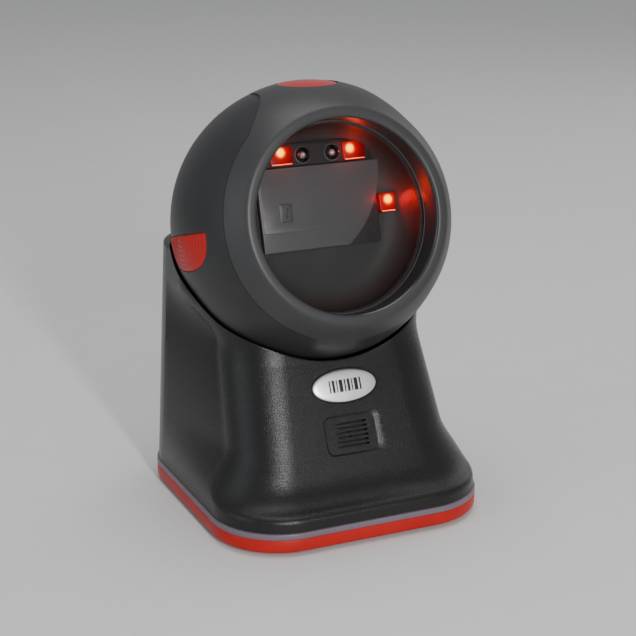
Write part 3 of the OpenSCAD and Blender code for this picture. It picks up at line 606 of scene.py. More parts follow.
def stand_column(column):
    """The shell's section at a column: up the outside, over the rim, down the bowl and back inside."""
    top = meet_sphere(column, 0, CRADLE_R, HORN_Z)
    points = []
    for p in foot_profile:
        points.append(plan_point(column, p.y, max(0.0, TOE_EDGE - (p.y - SHELL_Z))))
    wall_top = top - RIM_R
    for i in range(1, WALL_STEPS + 1):
        points.append(plan_point(column, FLARE_TOP_Z + (wall_top - FLARE_TOP_Z) * i / WALL_STEPS, 0))
    wall_end = plan_point(column, wall_top, 0)
    outer_corner = plan_point(column, top, 0)
    # Where the top meets the bowl: the same point, or the inner edge of a horn
    offset = outer_corner - ball
    drop = offset.z
    reach = math.sqrt(CRADLE_R ** 2 - drop * drop)
    flat = Vector((offset.x, offset.y, 0))
    inner_corner = ball + flat.normalized() * min(reach, flat.length) + Vector((0, 0, drop))
    edge = neck_edge(inner_corner - ball, CRADLE_R)
    arc = CRADLE_R * (inner_corner - ball).angle(edge)
    bowl_start = on_sphere(inner_corner - ball, edge, RIM_R / arc, CRADLE_R)
    for i in range(1, RIM_STEPS):
        points.append(bezier(wall_end, outer_corner, inner_corner, ball + bowl_start, i / RIM_STEPS))
    for i in range(BOWL_STEPS + 1):
        points.append(ball + on_sphere(bowl_start, edge, i / BOWL_STEPS, CRADLE_R))
    under = CRADLE_R + WALL
    inner_top = meet_sphere(column, WALL, under, HORN_Z - WALL)
    inner_end = plan_point(column, inner_top, WALL) - ball
    under_edge = neck_edge(inner_corner - ball, under)
    for i in range(BOWL_STEPS):
        points.append(ball + on_sphere(under_edge, inner_end, i / BOWL_STEPS, under))
    for i in range(WALL_STEPS + 1):
        z = inner_top + (SHELL_Z - inner_top) * i / WALL_STEPS
        points.append(plan_point(column, z, WALL))
    return points


def stand_shell():
    columns = [stand_column(c) for c in plan_columns()]
    rows = len(columns[0])
    points = [column[i] for i in range(rows) for column in columns]
    faces = grid_faces(rows, len(columns), close_rows=True)
    return piece("stand_body", points, faces, WORLD, "stand", stand_look,
                 ["stand_shell"])


stand = stand_shell()

# ---------- Head: bezel with its hood, and the ball ----------
# Distances W along the head's axis from the ball's centre, and radii R from that axis
FRONT_CUT = 25.8
REAR_CUT = -22.0
SEAM_HALF = 0.12
LIP_W = 33.0
LIP_ROUND = 1.3
LIP_FLAT = 2.2
LIP_FALL = 2.4
THROAT_R = 32.2
THROAT_DEPTH = 9.2
SEAT_W = LIP_W - THROAT_DEPTH
WINDOW_R = 33.9
SEAT_R = WINDOW_R + 0.2
RING_R = 37.2
RING_W = 20.4
# The bezel's skin is let into the ball, with a hairline seam whose edges are eased
INLAY_T = 1.2
INLAY_GAP = 0.1
HAIRLINE = 0.03
EASE_DEPTH = 0.25
# The hood runs back over the top of the ball
HOOD_END = -10.0
HOOD_WAIST = 4.0
HOOD_HALF = 17.5
HOOD_FLARE = 11.0
HOOD_STEPS = 44
RING_STEPS = 170
SKIN_STEPS = 44
# The hood rises from flush to proud between these
FADE_FROM = -6.0
FADE_TO = 15.0


def hood_half(w):
    """Half-width of the hood against distance along the head's axis."""
    if w > HOOD_WAIST:
        return HOOD_HALF + HOOD_FLARE * ((w - HOOD_WAIST) / (FRONT_CUT - HOOD_WAIST)) ** 3
    share = (HOOD_WAIST - w) / (HOOD_WAIST - HOOD_END)
    return HOOD_HALF * math.sqrt(max(0.0, 1 - share * share))


def head_columns():
    """Columns round the head's axis from the top, as (angle, W of the bezel's rear edge)."""
    side = []
    for i in range(HOOD_STEPS + 1):
        w = HOOD_END + (FRONT_CUT - HOOD_END) * (1 - math.cos(math.pi / 2 * i / HOOD_STEPS))
        side.append((math.asin(hood_half(w) / math.sqrt(BALL_R ** 2 - w * w)), w))
    last = side[-1][0]
    ring = [(last + (2 * math.pi - 2 * last) * k / RING_STEPS, FRONT_CUT) for k in range(1, RING_STEPS)]
    return side + ring + [(-a, w) for a, w in side[:0:-1]]


def proud_radius(w):
    """The bezel stands proud of the ball, and its hood sinks to flush towards the tip."""
    flush = BALL_R + HAIRLINE
    return flush + (BEZEL_R - flush) * smooth_step(w, FADE_FROM, FADE_TO)


def at_radius(radius, w):
    """A profile point (R, W) on a sphere round the ball's centre."""
    return Vector((math.sqrt(max(radius * radius - w * w, 0.0)), w))


def arc_points(centre, radius, start, end, steps):
    return [centre + radius * Vector((math.cos(a), math.sin(a)))
            for a in (start + (end - start) * k / steps for k in range(steps + 1))]


def gap_at(edge):
    """The seam between hood and ball closes to a hairline at the hood's tip."""
    return HAIRLINE + (INLAY_GAP - HAIRLINE) * smooth_step(edge, HOOD_END + 1, 2)


def bezel_profile(edge):
    """From the window's seat up the throat, over the lip, back along the skin to an edge, and in."""
    points = [Vector((SEAT_R, RING_W)), Vector((SEAT_R, SEAT_W)), Vector((THROAT_R, SEAT_W))]
    points += [Vector((THROAT_R, SEAT_W + (LIP_W - LIP_ROUND - SEAT_W) * k / 6)) for k in range(1, 6)]
    inner_lip = Vector((THROAT_R + LIP_ROUND, LIP_W - LIP_ROUND))
    points += arc_points(inner_lip, LIP_ROUND, math.pi, math.pi / 2, 6)
    corner = at_radius(BEZEL_R, LIP_W)
    flat_end = corner - Vector((LIP_FLAT, 0))
    skin_start = LIP_W - LIP_FALL
    onto_skin = at_radius(BEZEL_R, skin_start)
    points += [bezier(flat_end, corner, corner, onto_skin, k / 8) for k in range(9)]
    skin_end = edge + EASE_DEPTH
    for k in range(1, SKIN_STEPS + 1):
        w = skin_start + (skin_end - skin_start) * k / SKIN_STEPS
        points.append(at_radius(proud_radius(w), w))
    under = BALL_R - INLAY_T
    rim = proud_radius(edge)
    fine = gap_at(edge) / INLAY_GAP
    points.append(at_radius(rim - 0.06 * fine, edge + 0.07 * fine))
    points.append(at_radius(rim - EASE_DEPTH, edge))
    points += [at_radius(under, edge + (FRONT_CUT - edge) * k / 12) for k in range(13)]
    points += [Vector((RING_R, FRONT_CUT)), Vector((RING_R, RING_W))]
    return points


def ball_profile(edge):
    """From under the bezel's skin to its edge, back along the ball to the rear seam, and inside."""
    inner = BALL_R - SKIN
    under = BALL_R - INLAY_T - INLAY_GAP
    behind_edge = edge - gap_at(edge)
    points = [at_radius(under, FRONT_CUT - INLAY_GAP + (edge - FRONT_CUT) * k / 12) for k in range(13)]
    points += [at_radius(BALL_R - 0.2, behind_edge), at_radius(BALL_R - 0.05, behind_edge - 0.06)]
    seam = REAR_CUT + SEAM_HALF
    start = behind_edge - 0.22
    points += [at_radius(BALL_R, start + (seam + 0.2 - start) * k / SKIN_STEPS)
               for k in range(SKIN_STEPS + 1)]
    points += [at_radius(BALL_R - 0.08, seam + 0.05), at_radius(BALL_R - EASE_DEPTH, seam)]
    front = FRONT_CUT - INLAY_GAP
    points += [at_radius(inner, seam + (front - seam) * k / 20) for k in range(21)]
    return points


def around_axis(profiles, angles):
    """Points of profiles set round the head's axis, row by row."""
    rows = len(profiles[0])
    return [(profile[i].x * math.sin(a), profile[i].x * math.cos(a), profile[i].y)
            for i in range(rows) for profile, a in zip(profiles, angles)]


def radial_normals(target, radii, tolerance=0.02):
    """Exact normals on a cut mesh's faces that lie on spheres round the ball; flat ones elsewhere."""
    mesh = target.data
    middle = ball * MM
    normals = []
    for face in mesh.polygons:
        for index in face.vertices:
            offset = mesh.vertices[index].co - middle
            out = offset.normalized()
            near = any(abs(offset.length / MM - r) < tolerance for r in radii)
            facing = face.normal.dot(out)
            on_skin = near and abs(facing) > 0.96
            normals.append(out * math.copysign(1, facing) if on_skin else face.normal)
    mesh.polygons.foreach_set("use_smooth", [True] * len(mesh.polygons))
    mesh.normals_split_custom_set(normals)


def revolved(name, profile, steps, place, body, look, replaced=()):
    """A closed solid from a profile of (radius, height) turned round the local Z axis."""
    angles = [2 * math.pi * k / steps for k in range(steps)]
    points = [(p.x * math.sin(a), p.x * math.cos(a), p.y) for p in profile for a in angles]
    faces = grid_faces(len(profile), steps, close_rows=profile[0].x > 0 or profile[-1].x > 0)
    return piece(name, points, faces, place, body, look, replaced)


def head_shell(name, profile_at, look, node):
    """A closed shell round the head's axis, whose section at each column ends at that column's edge."""
    columns = head_columns()
    profiles = [profile_at(edge) for a, edge in columns]
    faces = grid_faces(len(profiles[0]), len(columns), close_rows=True)
    points = around_axis(profiles, [a for a, edge in columns])
    return piece(name, points, faces, HEAD, "head", look, [node])


bezel = head_shell("bezel_and_hood", bezel_profile, bezel_look, "bezel")
ball_shell = head_shell("ball_shell", ball_profile, ball_look, "head_shell")

REAR_STEPS = 40


def rear_arc(radius, end):
    """Profile points from the rear pole round to an angle from it."""
    turns = [end * k / REAR_STEPS for k in range(REAR_STEPS + 1)]
    return [radius * Vector((math.sin(a), -math.cos(a))) for a in turns]


rear_seam = REAR_CUT - SEAM_HALF
rear_profile = rear_arc(BALL_R, math.acos(-rear_seam / BALL_R) - 0.004)
rear_profile += [at_radius(BALL_R - 0.08, rear_seam - 0.05), at_radius(BALL_R - EASE_DEPTH, rear_seam)]
rear_profile += rear_arc(BALL_R - SKIN, math.acos(-rear_seam / (BALL_R - SKIN)))[::-1]
rear_cap = revolved("ball_rear_cap", rear_profile, 200, HEAD, "head", ball_look,
                    ["head_rear_cap"])

# Side caps: straight along the pivot level, rounded below, with finger grooves round the pivot
CAP_HALF = 15.8
CAP_DROP = 12.2
CAP_W = 1.6
CAP_PROUD = 0.12
GROOVE_PITCH = 1.6
GROOVE_H = 0.11
CAP_RAYS = 72
CAP_RINGS = 90

# The slot that the neck swings in, between the joint's two limits
tilt_low, tilt_high = tilt_joint["range_deg"]
TILT_BACK = math.radians(-tilt_low)
TILT_FORWARD = math.radians(tilt_high)
NECK_SWING_T = 6.0
NECK_SWING_W = 13.5
NECK_CLEARANCE = math.radians(1.2)
NECK_STEPS = 10


def cap_outline(turn, grow):
    """Edge of a side cap grown by a margin, as (W, V up the head) against a turn from 0 to pi."""
    c, s = math.cos(turn), math.sin(turn)
    w = CAP_W + math.copysign((CAP_HALF + grow) * abs(c) ** 0.8, c)
    return Vector((w, grow - (CAP_DROP + 2 * grow) * max(s, 0.0) ** 0.8))


def cap_solid(name, side, grow, outer, inner, look):
    """A half-disc plate that follows the ball, from the radius inner out to outer(distance, depth).

    Those are the distances from the pivot and from the plate's edge. Without a look it is a tool to
    cut with.
    """
    top = []
    bottom = []
    middle = Vector((0, grow))
    for j in range(CAP_RINGS + 1):
        for i in range(CAP_RAYS + 1):
            edge = cap_outline(math.pi * i / CAP_RAYS, grow)
            p = middle.lerp(edge, j / CAP_RINGS)
            depth = min((edge - middle).length * (1 - j / CAP_RINGS), grow - p.y)
            for radius, out in ((outer(p.length, depth), top), (inner, bottom)):
                x = math.sqrt(radius * radius - p.length_squared)
                out.append((side * x, p.y, p.x))
    count = len(top)
    across = CAP_RAYS + 1
    faces = grid_faces(CAP_RINGS + 1, across, close_columns=False)
    faces += [tuple(count + k for k in face[::-1]) for face in faces]
    border = [j * across for j in range(CAP_RINGS)] + [CAP_RINGS * across + i for i in range(across)]
    border += [j * across + CAP_RAYS for j in range(CAP_RINGS - 1, -1, -1)]
    faces += [(a, b, b + count, a + count) for a, b in zip(border, border[1:])]
    body = "head" if look else None
    node = "side_cap_right" if side > 0 else "side_cap_left"
    return piece(name, top + bottom, faces, HEAD, body, look or red_look, [node])


def grooved(distance, depth):
    """The cap's outer radius: rings of finger grooves, and a rounded edge."""
    wave = GROOVE_H * math.cos(2 * math.pi * distance / GROOVE_PITCH) * smooth_step(depth, 0.2, 0.7)
    rounding = 0.35 * max(0.0, 1 - depth / 0.45) ** 2
    return BALL_R + CAP_PROUD + wave - rounding


def slot_cutter():
    """The wedge below the ball that the neck swings in."""
    half_angle = math.asin(NECK_SWING_T / (BALL_R - SKIN)) + NECK_CLEARANCE
    middle = NECK_LEAN + REST_TILT
    start = middle - TILT_FORWARD - half_angle
    end = middle + TILT_BACK + half_angle
    turns = [start + (end - start) * k / NECK_STEPS for k in range(NECK_STEPS + 1)]
    inside, outside = 36, 60
    outline = [(-inside * math.sin(a), -inside * math.cos(a)) for a in turns]
    outline += [(-outside * math.sin(a), -outside * math.cos(a)) for a in turns[::-1]]
    points = [(x, v, w) for x in (-NECK_SWING_W, NECK_SWING_W) for w, v in outline]
    return piece("cutter", points, capped_faces(2, len(outline)), HEAD, None, stand_look)


BUTTON_R = 10.4
BUTTON_GAP = 0.12
HEAD_SCREW_R = 35.0
HEAD_SCREW_HOLE_R = 3.0
CAP_GAP = 0.16
for side, label in ((1, "right"), (-1, "left")):
    cap = cap_solid("side_cap_" + label + "_grooved", side, 0, grooved, BALL_R - INLAY_T + 0.1, red_look)
    smooth(cap, 50)
pockets = [cap_solid("cutter", side, CAP_GAP, lambda d, e: BALL_R + 4, BALL_R - INLAY_T, None)
           for side in (1, -1)]
cut(ball_shell, *pockets, plain_cylinder(BUTTON_R + BUTTON_GAP, 30, 60, BUTTON, 96), slot_cutter())
cut(rear_cap, slot_cutter())
screw_turns = [HEAD @ Matrix.Rotation(math.pi / 4 + math.pi / 2 * k, 4, "Z") for k in range(4)]
cut(rear_cap, *[plain_cylinder(HEAD_SCREW_HOLE_R, -60, -26, moved(turn, HEAD_SCREW_R, 0), 48)
                for turn in screw_turns])
cut(bezel, plain_cylinder(BUTTON_R + BUTTON_GAP, 30, 60, BUTTON, 96))
radial_normals(ball_shell, (BALL_R, BALL_R - SKIN, BALL_R - INLAY_T, BALL_R - INLAY_T - INLAY_GAP))
radial_normals(rear_cap, (BALL_R, BALL_R - SKIN))
smooth(bezel, 30)

# Button: a domed cap on a flange and a stem, as (radius, height above the ball's centre)
CAP_TOP = BALL_R + 0.34
BUTTON_EDGE = 0.6
stem_and_flange = [(0, 39.5), (2, 39.5), (2, 42.6), (11.8, 42.6), (11.8, 43.6), (9.4, 43.6), (9.4, 45.6)]
button_profile = [Vector(p) for p in stem_and_flange + [(BUTTON_R, 45.6)]]
dome_edge = at_radius(CAP_TOP, math.sqrt(CAP_TOP ** 2 - BUTTON_R ** 2))
button_side = Vector((BUTTON_R, dome_edge.y - BUTTON_EDGE))
dome_start = Vector((BUTTON_R - BUTTON_EDGE, math.sqrt(CAP_TOP ** 2 - (BUTTON_R - BUTTON_EDGE) ** 2)))
dome_corner = Vector((BUTTON_R, dome_edge.y))
button_profile += [bezier(button_side, dome_corner, dome_corner, dome_start, k / 6) for k in range(7)]
button_profile += [Vector((r, math.sqrt(CAP_TOP ** 2 - r * r)))
                   for r in ((BUTTON_R - BUTTON_EDGE) * (1 - k / 16) for k in range(1, 17))]
button = revolved("button_cap", button_profile, 96, BUTTON, "button", red_gloss_look,
                  ["top_button"])
smooth(button, 40)

# ---------- Inside the window ----------
BOWL_FLOOR_W = 10.0
BOWL_FLOOR_R = 21.0
BOWL_RIM_R = 31.4
BOWL_TOP = SEAT_W - 2.4
BOWL_WALL = 1.6
BOWL_POWER = 0.77
CAMERA_AT_FACE = Vector((-13.7, 3.4))


def bowl_point(turn, grow):
    s, c = max(math.sin(turn), 0.0), max(math.cos(turn), 0.0)
    return Vector((BOWL_FLOOR_R + (BOWL_RIM_R - BOWL_FLOOR_R + grow) * s ** BOWL_POWER,
                   BOWL_TOP - (BOWL_TOP - BOWL_FLOOR_W + grow) * c ** BOWL_POWER))


BOWL_ARC = 28
bowl_profile = [Vector((0, BOWL_FLOOR_W))]
bowl_profile += [bowl_point(math.pi / 2 * k / BOWL_ARC, 0) for k in range(BOWL_ARC + 1)]
bowl_profile += [Vector((WINDOW_R, BOWL_TOP)), Vector((WINDOW_R, BOWL_TOP - 1.4))]
bowl_profile += [bowl_point(math.pi / 2 * k / BOWL_ARC, BOWL_WALL) for k in range(BOWL_ARC - 2, -1, -1)]
bowl_profile += [Vector((0, BOWL_FLOOR_W - BOWL_WALL))]
bowl = revolved("optics_bowl", bowl_profile, 180, HEAD, "head", shroud_look,
                ["optics_shroud"])

# Lamp windows: middle, half-size, and where the lamp behind it sits
LAMPS = [
    ("top_left", Vector((-13.2, 22.4)), Vector((4.1, 3.1)), Vector((-13.4, 23.6))),
    ("top_right", Vector((13.6, 22.2)), Vector((4.1, 3.1)), Vector((12.1, 23.0))),
    ("side_left", Vector((-27.1, 3.4)), Vector((2.2, 3.2)), Vector((-28.0, 4.3))),
    ("side_right", Vector((24.1, 3.4)), Vector((3.0, 3.2)), Vector((24.2, 4.4))),
]
LAMP_BACK = 9.0
LAMP_FRONT = 13.0
STRIP_MIDDLE = Vector((0.0, 22.6))
STRIP_HALF = Vector((20.0, 3.8))
STRIP_BACK = 10.9
STRIP_FRONT = 12.4


def face_outline(middle, half, radius, steps=6):
    """A rounded rectangle on the head's face, as a function of its inset."""
    def outline(inset):
        corners = rounded_outline(half.x - inset, half.y - inset, max(radius - inset, 0.05), steps)
        return [(x + middle.x, y + middle.y) for x, y in corners]
    return outline


def face_block(name, middle, half, radius, back, front, edge, look, replaced=()):
    """A plate parallel to the window, with a rounded front edge."""
    levels = [(back, 0), (front - edge, 0), (front - 0.3 * edge, 0.3 * edge * 0.8), (front, edge)]
    return stacked(name, face_outline(middle, half, radius), levels, HEAD, "head", look, replaced)


ports = [cutter(face_outline(middle, half + Vector((0.15, 0.15)), 0.4)(0), 5, LAMP_FRONT + 0.1, HEAD)
         for label, middle, half, hot in LAMPS]
ports.append(cutter(face_outline(STRIP_MIDDLE, STRIP_HALF + Vector((0.15, 0.15)), 0.6)(0),
                    STRIP_BACK, STRIP_FRONT + 0.1, HEAD))
ports.append(plain_cylinder(6.0, 5, 15, moved(HEAD, *CAMERA_AT_FACE), 48))
cut(bowl, *ports)
smooth(bowl, 30)


def add_light(name, kind, power, colour, position, target=None, body=None, **settings):
    """A light in the world, aimed at a target and riding on a body where these are given."""
    data = bpy.data.lights.new(name, kind)
    data.energy = power
    data.color = colour
    for key, value in settings.items():
        setattr(data, key, value)
    light = bpy.data.objects.new(name, data)
    light.location = position
    if target is not None:
        light.rotation_euler = (Vector(target) - Vector(position)).to_track_quat("-Z", "Y").to_euler()
    bpy.context.scene.collection.objects.link(light)
    if body:
        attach(light, body)


GLOW_COLOUR = (1.0, 0.0, 0.0)
GLOW_POWER = {"top_left": 0.0026, "top_right": 0.0034, "side_left": 0.0006, "side_right": 0.0036}
for label, middle, half, hot in LAMPS:
    hot_spot = HEAD @ Vector((hot.x, hot.y, LAMP_FRONT))
    nodes = ["led_windows"] if label == "top_left" else []
    block = face_block("lamp_window_" + label, middle, half, 0.5, LAMP_BACK, LAMP_FRONT, 0.25,
                       lamp_window("led_red_" + label, hot_spot), nodes)
    smooth(block, 40)
    add_light("glow_" + label, "POINT", GLOW_POWER[label], GLOW_COLOUR,
              HEAD @ Vector((hot.x, hot.y, LAMP_FRONT + 2.2)), body="head", shadow_soft_size=1.2 * MM)

# The right lamp also throws a fan of red onto the bowl's wall
FAN_FROM = Vector((26.4, 4.2, 15.4))
FAN_TO = Vector((31.0, 2.4, 16.2))
add_light("fan_side_right", "SPOT", 0.009, GLOW_COLOUR, HEAD @ FAN_FROM, HEAD @ FAN_TO, "head",
          spot_size=math.radians(120), spot_blend=0.3, shadow_soft_size=0.4 * MM)

# Thin light-grey ring on the window's edge: a painted highlight
window_highlight_profile = [Vector((r, SEAT_W + lift))
                 for r, lift in ((31.9, 0), (32.12, 0), (32.12, 0.14), (32.0, 0.18), (31.9, 0.12))]
painted_edge_highlight = revolved("window_edge_highlight", window_highlight_profile, 160, HEAD, "head", edge_highlight_look)
smooth(painted_edge_highlight, 40)

# The lower edge of a lamp window catches the light
for label, middle, half, hot in LAMPS:
    low_edge = Vector((middle.x, middle.y - half.y + 0.3))
    edge_bar = face_block("lamp_edge_" + label, low_edge, Vector((half.x - 0.5, 0.16)), 0.12,
                          LAMP_FRONT - 0.1, LAMP_FRONT + 0.08, 0.05, edge_glow_look)
    smooth(edge_bar, 40)

# Dark strip that holds the two upper lamps and the two sensor caps
strip = face_block("lamp_strip", STRIP_MIDDLE, STRIP_HALF, 0.6, STRIP_BACK, STRIP_FRONT, 0.2,
                   strip_look, ["led_strip"])
DOME_AT = [Vector((-5.4, 22.2)), Vector((5.4, 22.2))]
DOME_R = 2.6
DOME_BASE = STRIP_FRONT + 0.5
DOME_RISE = 0.85 * DOME_R
strip_holes = [cutter(face_outline(middle, half + Vector((0.12, 0.12)), 0.4)(0), 5, 30, HEAD)
               for label, middle, half, hot in LAMPS[:2]]
strip_holes += [plain_cylinder(DOME_R + 0.34, 5, 30, moved(HEAD, *p), 40) for p in DOME_AT]
cut(strip, *strip_holes)
smooth(strip, 40)
for number, p in enumerate(DOME_AT):
    profile = [Vector((0, STRIP_BACK)), Vector((DOME_R, STRIP_BACK)), Vector((DOME_R, DOME_BASE))]
    profile += [Vector((DOME_R * math.cos(a), DOME_BASE + DOME_RISE * math.sin(a)))
                for a in (math.pi / 2 * k / 12 for k in range(1, 12))]
    profile.append(Vector((0, DOME_BASE + DOME_RISE)))
    place = moved(HEAD, *p)
    dome = revolved("sensor_dome_%d" % (number + 1), profile, 48, place, "head", dome_look,
                    ["sensor_domes"] if number == 0 else [])
    smooth(dome, 50)
    # A light-grey ring round each dome paints the highlight on its rim
    rim_highlight_profile = [Vector((DOME_R + out, STRIP_FRONT + lift))
                    for out, lift in ((0.02, -0.3), (0.3, -0.3), (0.3, 0.3), (0.02, 0.5))]
    ring = revolved("sensor_rim_highlight_%d" % (number + 1), rim_highlight_profile, 48, place, "head", edge_highlight_look)
    smooth(ring, 40)
    chip_profile = [Vector((0, STRIP_BACK + 0.1)), Vector((1.1, STRIP_BACK + 0.1)),
                    Vector((1.1, STRIP_FRONT + 0.4)),
                    Vector((0.8, STRIP_FRONT + 0.9)), Vector((0, STRIP_FRONT + 1.1))]
    chip = revolved("sensor_core_%d" % (number + 1), chip_profile, 24, place, "head", sensor_core_look)
    smooth(chip, 30)

# Scan panel: a dark base plate, a lighter plate whose right side is an arc, and a low pane over its left part,
# with the camera's window. The lighter plate and its pane paint the reflection of the window's opening in the
# glossy panel; the darker base round them is where that reflection is missing
PANEL_LEFT = -22.8
PANEL_RIGHT = 20.6
PANEL_LOW = -9.5
PANEL_HIGH = 18.4
PANEL_BACK = BOWL_FLOOR_W + 0.1
PANEL_FACE = 12.5
ARC_CENTRE = Vector((-12.5, 18.4))
ARC_R = 34.8
BASE_FACE = 11.9
PANE_RIGHT = 6.0
PANE_LOW = -3.1
PANE_MARGIN = 0.6
PANE_LIFT = 0.14
CAMERA_HALF = Vector((2.2, 3.1))


def reflection_plate_outline(inset):
    """The lighter plate of painted reflection: straight on three sides and round on the fourth."""
    low, high = PANEL_LOW + inset, PANEL_HIGH - inset
    left = PANEL_LEFT + inset
    radius = ARC_R - inset
    start = math.asin((low - ARC_CENTRE.y) / radius)
    end = math.asin((high - ARC_CENTRE.y) / radius)
    arc = arc_points(ARC_CENTRE, radius, start, end, 28)
    return [(left, high), (left, low)] + [(p.x, p.y) for p in arc]


base_middle = Vector(((PANEL_LEFT + PANEL_RIGHT) / 2, (PANEL_LOW + PANEL_HIGH) / 2))
base_half = Vector(((PANEL_RIGHT - PANEL_LEFT) / 2, (PANEL_HIGH - PANEL_LOW) / 2))
panel_base = face_block("scan_panel_base", base_middle, base_half, 0.8, PANEL_BACK, BASE_FACE, 0.2,
                        panel_base_look, ["scan_panel"])
reflection_plate_levels = [(BASE_FACE - 0.6, 0), (PANEL_FACE - 0.25, 0), (PANEL_FACE - 0.07, 0.07),
                (PANEL_FACE, 0.25)]
plate = stacked("scan_panel_reflection_plate", reflection_plate_outline, reflection_plate_levels, HEAD, "head", panel_reflection_look)
pane_left, pane_high = PANEL_LEFT + PANE_MARGIN, PANEL_HIGH - PANE_MARGIN
pane_middle = Vector(((pane_left + PANE_RIGHT) / 2, (PANE_LOW + pane_high) / 2))
pane_half = Vector(((PANE_RIGHT - pane_left) / 2, (pane_high - PANE_LOW) / 2))
pane = face_block("scan_panel_pane", pane_middle, pane_half, 0.4, PANEL_FACE - 0.4,
                  PANEL_FACE + PANE_LIFT, 0.12, panel_reflection_look)
for target in (panel_base, plate, pane):
    cut(target, cutter(face_outline(CAMERA_AT_FACE, CAMERA_HALF, 0.5)(0), 5, 20, HEAD))
    smooth(target, 30)
camera_cover = face_block("camera_cover", CAMERA_AT_FACE, CAMERA_HALF - Vector((0.07, 0.07)), 0.5,
                          PANEL_BACK + 0.6, PANEL_FACE + PANE_LIFT - 0.05, 0.1, camera_cover_look)
# A keyhole mark: a round hole over a slot
KEY_R = 0.85
KEY_SLOT_HALF = 0.35
keyhole = [(KEY_SLOT_HALF, -1.9), (KEY_SLOT_HALF, 0.2)]
keyhole += [(p.x, p.y)
            for p in arc_points(Vector((0, 0.95)), KEY_R, math.radians(-60), math.radians(240), 20)]
keyhole += [(-KEY_SLOT_HALF, 0.2), (-KEY_SLOT_HALF, -1.9)]
cut(camera_cover, cutter(keyhole, PANEL_FACE - 0.35, 20, moved(HEAD, *CAMERA_AT_FACE)))
smooth(camera_cover, 40)

# The throat behind the lip is painted darker than the bezel's skin, as shade inside the window's recess; the lip
# is a little darker too, and both are smoother
bezel.data.materials.append(throat_shade_look)
bezel.data.materials.append(lip_look)
to_head = HEAD.inverted()
for face in bezel.data.polygons:
    local = to_head @ face.center
    from_axis = Vector((local.x, local.y)).length
    if from_axis < THROAT_R + 0.03:
        face.material_index = 1
    elif from_axis < THROAT_R + 0.8 and local.z > LIP_W - LIP_ROUND:
        face.material_index = 2

# ---------- Details of the stand ----------
BADGE_HALF_W = 12.2
BADGE_HALF_H = 6.0
BADGE_Z = 48.0
BADGE_STEPS = 96
GRILLE_HALF = Vector((9.3, 6.3))
GRILLE_SHIFT = -0.4
GRILLE_CORNER_R = 2.4
GRILLE_FACE = -0.45
GRILLE_BACK = -1.8
RECESS_HALF = Vector((10.4, 6.9))
RECESS_SHIFT = 0.3
GRILLE_Z = 33.0
COVER_Z = 34.0
COVER_HALF_W = 26.0
COVER_HALF_H = 24.0
SOCKET_HALF_W = 8.4

badge_frame = on_front(BADGE_Z)
grille_frame = on_front(GRILLE_Z)
cover_frame = on_back(COVER_Z)
socket_low, socket_high = low_high("cable_socket")


def recess_outline(share):
    """Outline of the grille's pocket: at the plate's face for 0, and at its mouth for 1."""
    half = GRILLE_HALF.lerp(RECESS_HALF, share)
    shift = GRILLE_SHIFT + (RECESS_SHIFT - GRILLE_SHIFT) * share
    return [(x + shift, y) for x, y in rounded_outline(half.x, half.y, GRILLE_CORNER_R, 10)]


badge_seat = cutter(oval_outline(BADGE_HALF_W + 0.12, BADGE_HALF_H + 0.12, BADGE_STEPS), -1.0, 4,
                    badge_frame)
grille_seat = stacked("cutter", recess_outline, [(GRILLE_BACK, 0), (GRILLE_FACE, 0), (0, 1), (2, 1)],
                      grille_frame, None, stand_look)
grille_port = cutter(rounded_outline(7.5, 5, 1.5, 6), -4, 2, grille_frame)
cover_seat = cutter(rounded_outline(COVER_HALF_W, COVER_HALF_H, 4, 10), -1.5, 4, cover_frame)
cover_port = cutter(rounded_outline(18, 20.5, 3, 8), -6, 2, moved(cover_frame, 0, -0.5))
port_low, port_high = socket_low.z - 0.6, socket_high.z + 0.2
port_corners = [(-SOCKET_HALF_W, port_low), (SOCKET_HALF_W, port_low),
                (SOCKET_HALF_W, port_high), (-SOCKET_HALF_W, port_high)]
socket_port = cutter(port_corners, -52, -42, WORLD @ Matrix.Rotation(math.pi / 2, 4, "X"))
cut(stand, badge_seat, grille_seat, grille_port, cover_seat, cover_port, socket_port)
smooth(stand, 20)

# Grille plate, sunk in its pocket, with slots right through it
GRILLE_GAP = 0.04
SLOT_COUNT = 6
SLOT_PITCH = 1.55
SLOT_HALF = Vector((5.8, 0.32))


def grille_outline(inset):
    half_x, half_y = GRILLE_HALF.x - GRILLE_GAP - inset, GRILLE_HALF.y - GRILLE_GAP - inset
    return [(x + GRILLE_SHIFT, y) for x, y in rounded_outline(half_x, half_y, GRILLE_CORNER_R, 10)]


grille = stacked("grille_plate", grille_outline,
                 [(GRILLE_BACK, 0), (GRILLE_FACE - 0.02, 0), (GRILLE_FACE, 0.02)],
                 grille_frame, "stand", stand_look, ["sound_grille"])
slots = []
for number in range(SLOT_COUNT):
    up = SLOT_PITCH * (number - (SLOT_COUNT - 1) / 2)
    outline = [(x, y + up) for x, y in rounded_outline(SLOT_HALF.x, SLOT_HALF.y, SLOT_HALF.y - 0.01, 5)]
    slots.append(cutter(outline, -3, 4, grille_frame))
cut(grille, *slots)
smooth(grille, 30)

# Red tray: a cup with a rounded lower edge
TRAY_WALL = 3.0
TRAY_ROUND = 1.7
TRAY_FLOOR_T = 2.2
# Fine groove above and below the trim band
GROOVE = 0.22
SOFT = 0.07


def base_outline(inset):
    return rounded_outline(BASE_HALF_W - inset, BASE_HALF_D - inset, CORNER_R - inset, 32)


